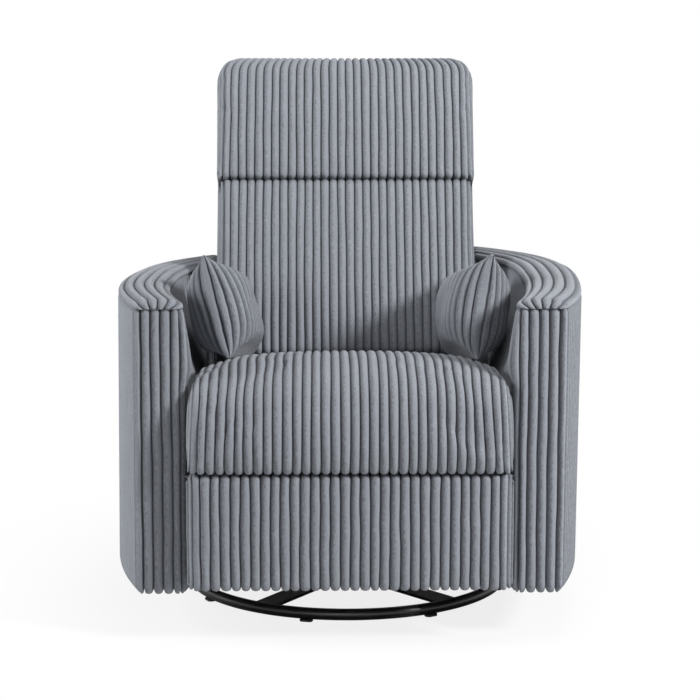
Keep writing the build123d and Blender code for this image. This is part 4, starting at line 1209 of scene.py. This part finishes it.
class RECLINER_OT_fasteners(bpy.types.Operator):
    """Drive the screws through the arm, recline and footrest brackets"""

    bl_idname = "recliner.fasteners"
    bl_label = "Bracket screws"

    def execute(self, context):
        screw = button_screw(sizes().screw_width)
        for name, (body, places) in bracket_screw_places().items():
            copies = []
            for (x, y, z), facing in places:
                for side in (1, -1):
                    copy = duplicate(screw)
                    out = Vector((facing[0] * side, facing[1], facing[2]))
                    turn = out.to_track_quat("Z", "Y").to_matrix().to_4x4()
                    copy.data.transform(Matrix.Translation((x * side, y, z)) @ turn)
                    copies.append(copy)
            group = joined(copies)
            group.name = group.data.name = name
            fitted(group, body, "plated_steel")
        discard(screw)
        return {"FINISHED"}


# ------------ finishes of the frame and mechanism
class RECLINER_OT_frame_finishes(bpy.types.Operator):
    """Paint and plate the frame and the mechanism, and give the rest their bare wood, nylon and webbing
    finishes
    """

    bl_idname = "recliner.frame_finishes"
    bl_label = "Frame and mechanism finishes"

    def execute(self, context):
        for part in frame["record"]["subparts"]:
            node = frame["nodes"][part["node"]]
            node.data.materials.clear()
            node.data.materials.append(finish(part["material_slot"]))
        return {"FINISHED"}


# ------------ stage
LIGHTS = (                         # name, place, aim, power in watts, width
    ("key", (3.0, -2.0, 2.4), (0.0, 0.0, 0.45), 235.0, 0.8),
    ("left side", (-2.9, -0.4, 1.5), (-0.3, 0.0, 0.4), 100.0, 1.2),
    ("front fill", (-0.6, -4.2, 1.6), (0.0, 0.0, 0.4), 16.0, 1.8),
    ("top", (0.3, -0.3, 3.3), (0.0, 0.0, 0.6), 45.0, 1.3),
    ("rear", (0.8, 3.2, 2.4), (0.0, 0.0, 0.6), 45.0, 2.0),
)
CAMERA_PLACE = (-0.046, -3.7, 1.003)
CAMERA_TURN = (math.radians(90.0) - 0.1431, 0.0, -0.0140)
CAMERA_LENS = 96.2                 # millimetres
WORLD_LIGHT = (0.13, 0.13, 0.135, 1)


class RECLINER_OT_studio(bpy.types.Operator):
    """Set the floor, the soft lights and the camera"""

    bl_idname = "recliner.studio"
    bl_label = "Studio"

    def execute(self, context):
        scene = context.scene
        bpy.ops.object.select_all(action="DESELECT")
        bpy.ops.mesh.primitive_plane_add(size=60.0, location=(0, 0, 0))
        floor = context.object
        floor.name = "studio_floor"
        floor.data.materials.append(floor_material(Shader(bpy.data.materials.new("studio floor"))))

        scene.world = bpy.data.worlds.new("studio")
        world = Shader(scene.world)
        rays = world.add("LightPath", {})
        seen = world.maths("MAXIMUM", rays.outputs["Is Camera Ray"], rays.outputs["Is Glossy Ray"])
        world.plug(world.nodes["Background"],
                   {"Strength": 1.0, "Color": world.mix(seen, WORLD_LIGHT, (1, 1, 1, 1))})

        for name, place, aim, power, width in LIGHTS:
            lamp = bpy.data.lights.new(name, "AREA")
            lamp.energy = power
            lamp.size = width
            light = bpy.data.objects.new(name, lamp)
            light.location = place
            light.rotation_euler = (Vector(aim) - Vector(place)).to_track_quat("-Z", "Y").to_euler()
            scene.collection.objects.link(light)

        scene.camera = bpy.data.objects.new("camera", bpy.data.cameras.new("camera"))
        scene.camera.data.lens = CAMERA_LENS
        scene.camera.data.sensor_width = 36.0
        scene.camera.location = CAMERA_PLACE
        scene.camera.rotation_euler = CAMERA_TURN
        scene.collection.objects.link(scene.camera)
        scene.view_settings.view_transform = "Standard"
        return {"FINISHED"}


class RECLINER_PT_panel(bpy.types.Panel):
    """Lists the recliner's makers in the sidebar"""

    bl_idname = "RECLINER_PT_panel"
    bl_label = "Recliner"
    bl_space_type = "VIEW_3D"
    bl_region_type = "UI"
    bl_category = "Recliner"

    def draw(self, context):
        for group in (context.scene.recliner_sizes, context.scene.recliner_colours):
            for name in group.__annotations__:
                self.layout.prop(group, name)
        for maker in MAKERS:
            self.layout.operator(maker.bl_idname)


MAKERS = (RECLINER_OT_seat_cushion, RECLINER_OT_footrest_cushion, RECLINER_OT_back_cushions,
          RECLINER_OT_arms, RECLINER_OT_throw_pillows, RECLINER_OT_rear_panels, RECLINER_OT_base_ring,
          RECLINER_OT_fasteners, RECLINER_OT_frame_finishes, RECLINER_OT_studio)
CLASSES = (ReclinerSizes, ReclinerColours) + MAKERS + (RECLINER_PT_panel,)


def register():
    for item in CLASSES:
        bpy.utils.register_class(item)
    bpy.types.Scene.recliner_sizes = bpy.props.PointerProperty(type=ReclinerSizes)
    bpy.types.Scene.recliner_colours = bpy.props.PointerProperty(type=ReclinerColours)


def unregister():
    del bpy.types.Scene.recliner_colours
    del bpy.types.Scene.recliner_sizes
    for item in reversed(CLASSES):
        bpy.utils.unregister_class(item)


def main():
    register()
    bpy.ops.recliner.studio()
    bpy.ops.recliner.frame_finishes()
    bpy.ops.recliner.seat_cushion()
    bpy.ops.recliner.footrest_cushion()
    bpy.ops.recliner.back_cushions()
    bpy.ops.recliner.arms()
    bpy.ops.recliner.throw_pillows()
    bpy.ops.recliner.rear_panels()
    bpy.ops.recliner.base_ring()
    bpy.ops.recliner.fasteners()


if __name__ == "__main__":
    main()
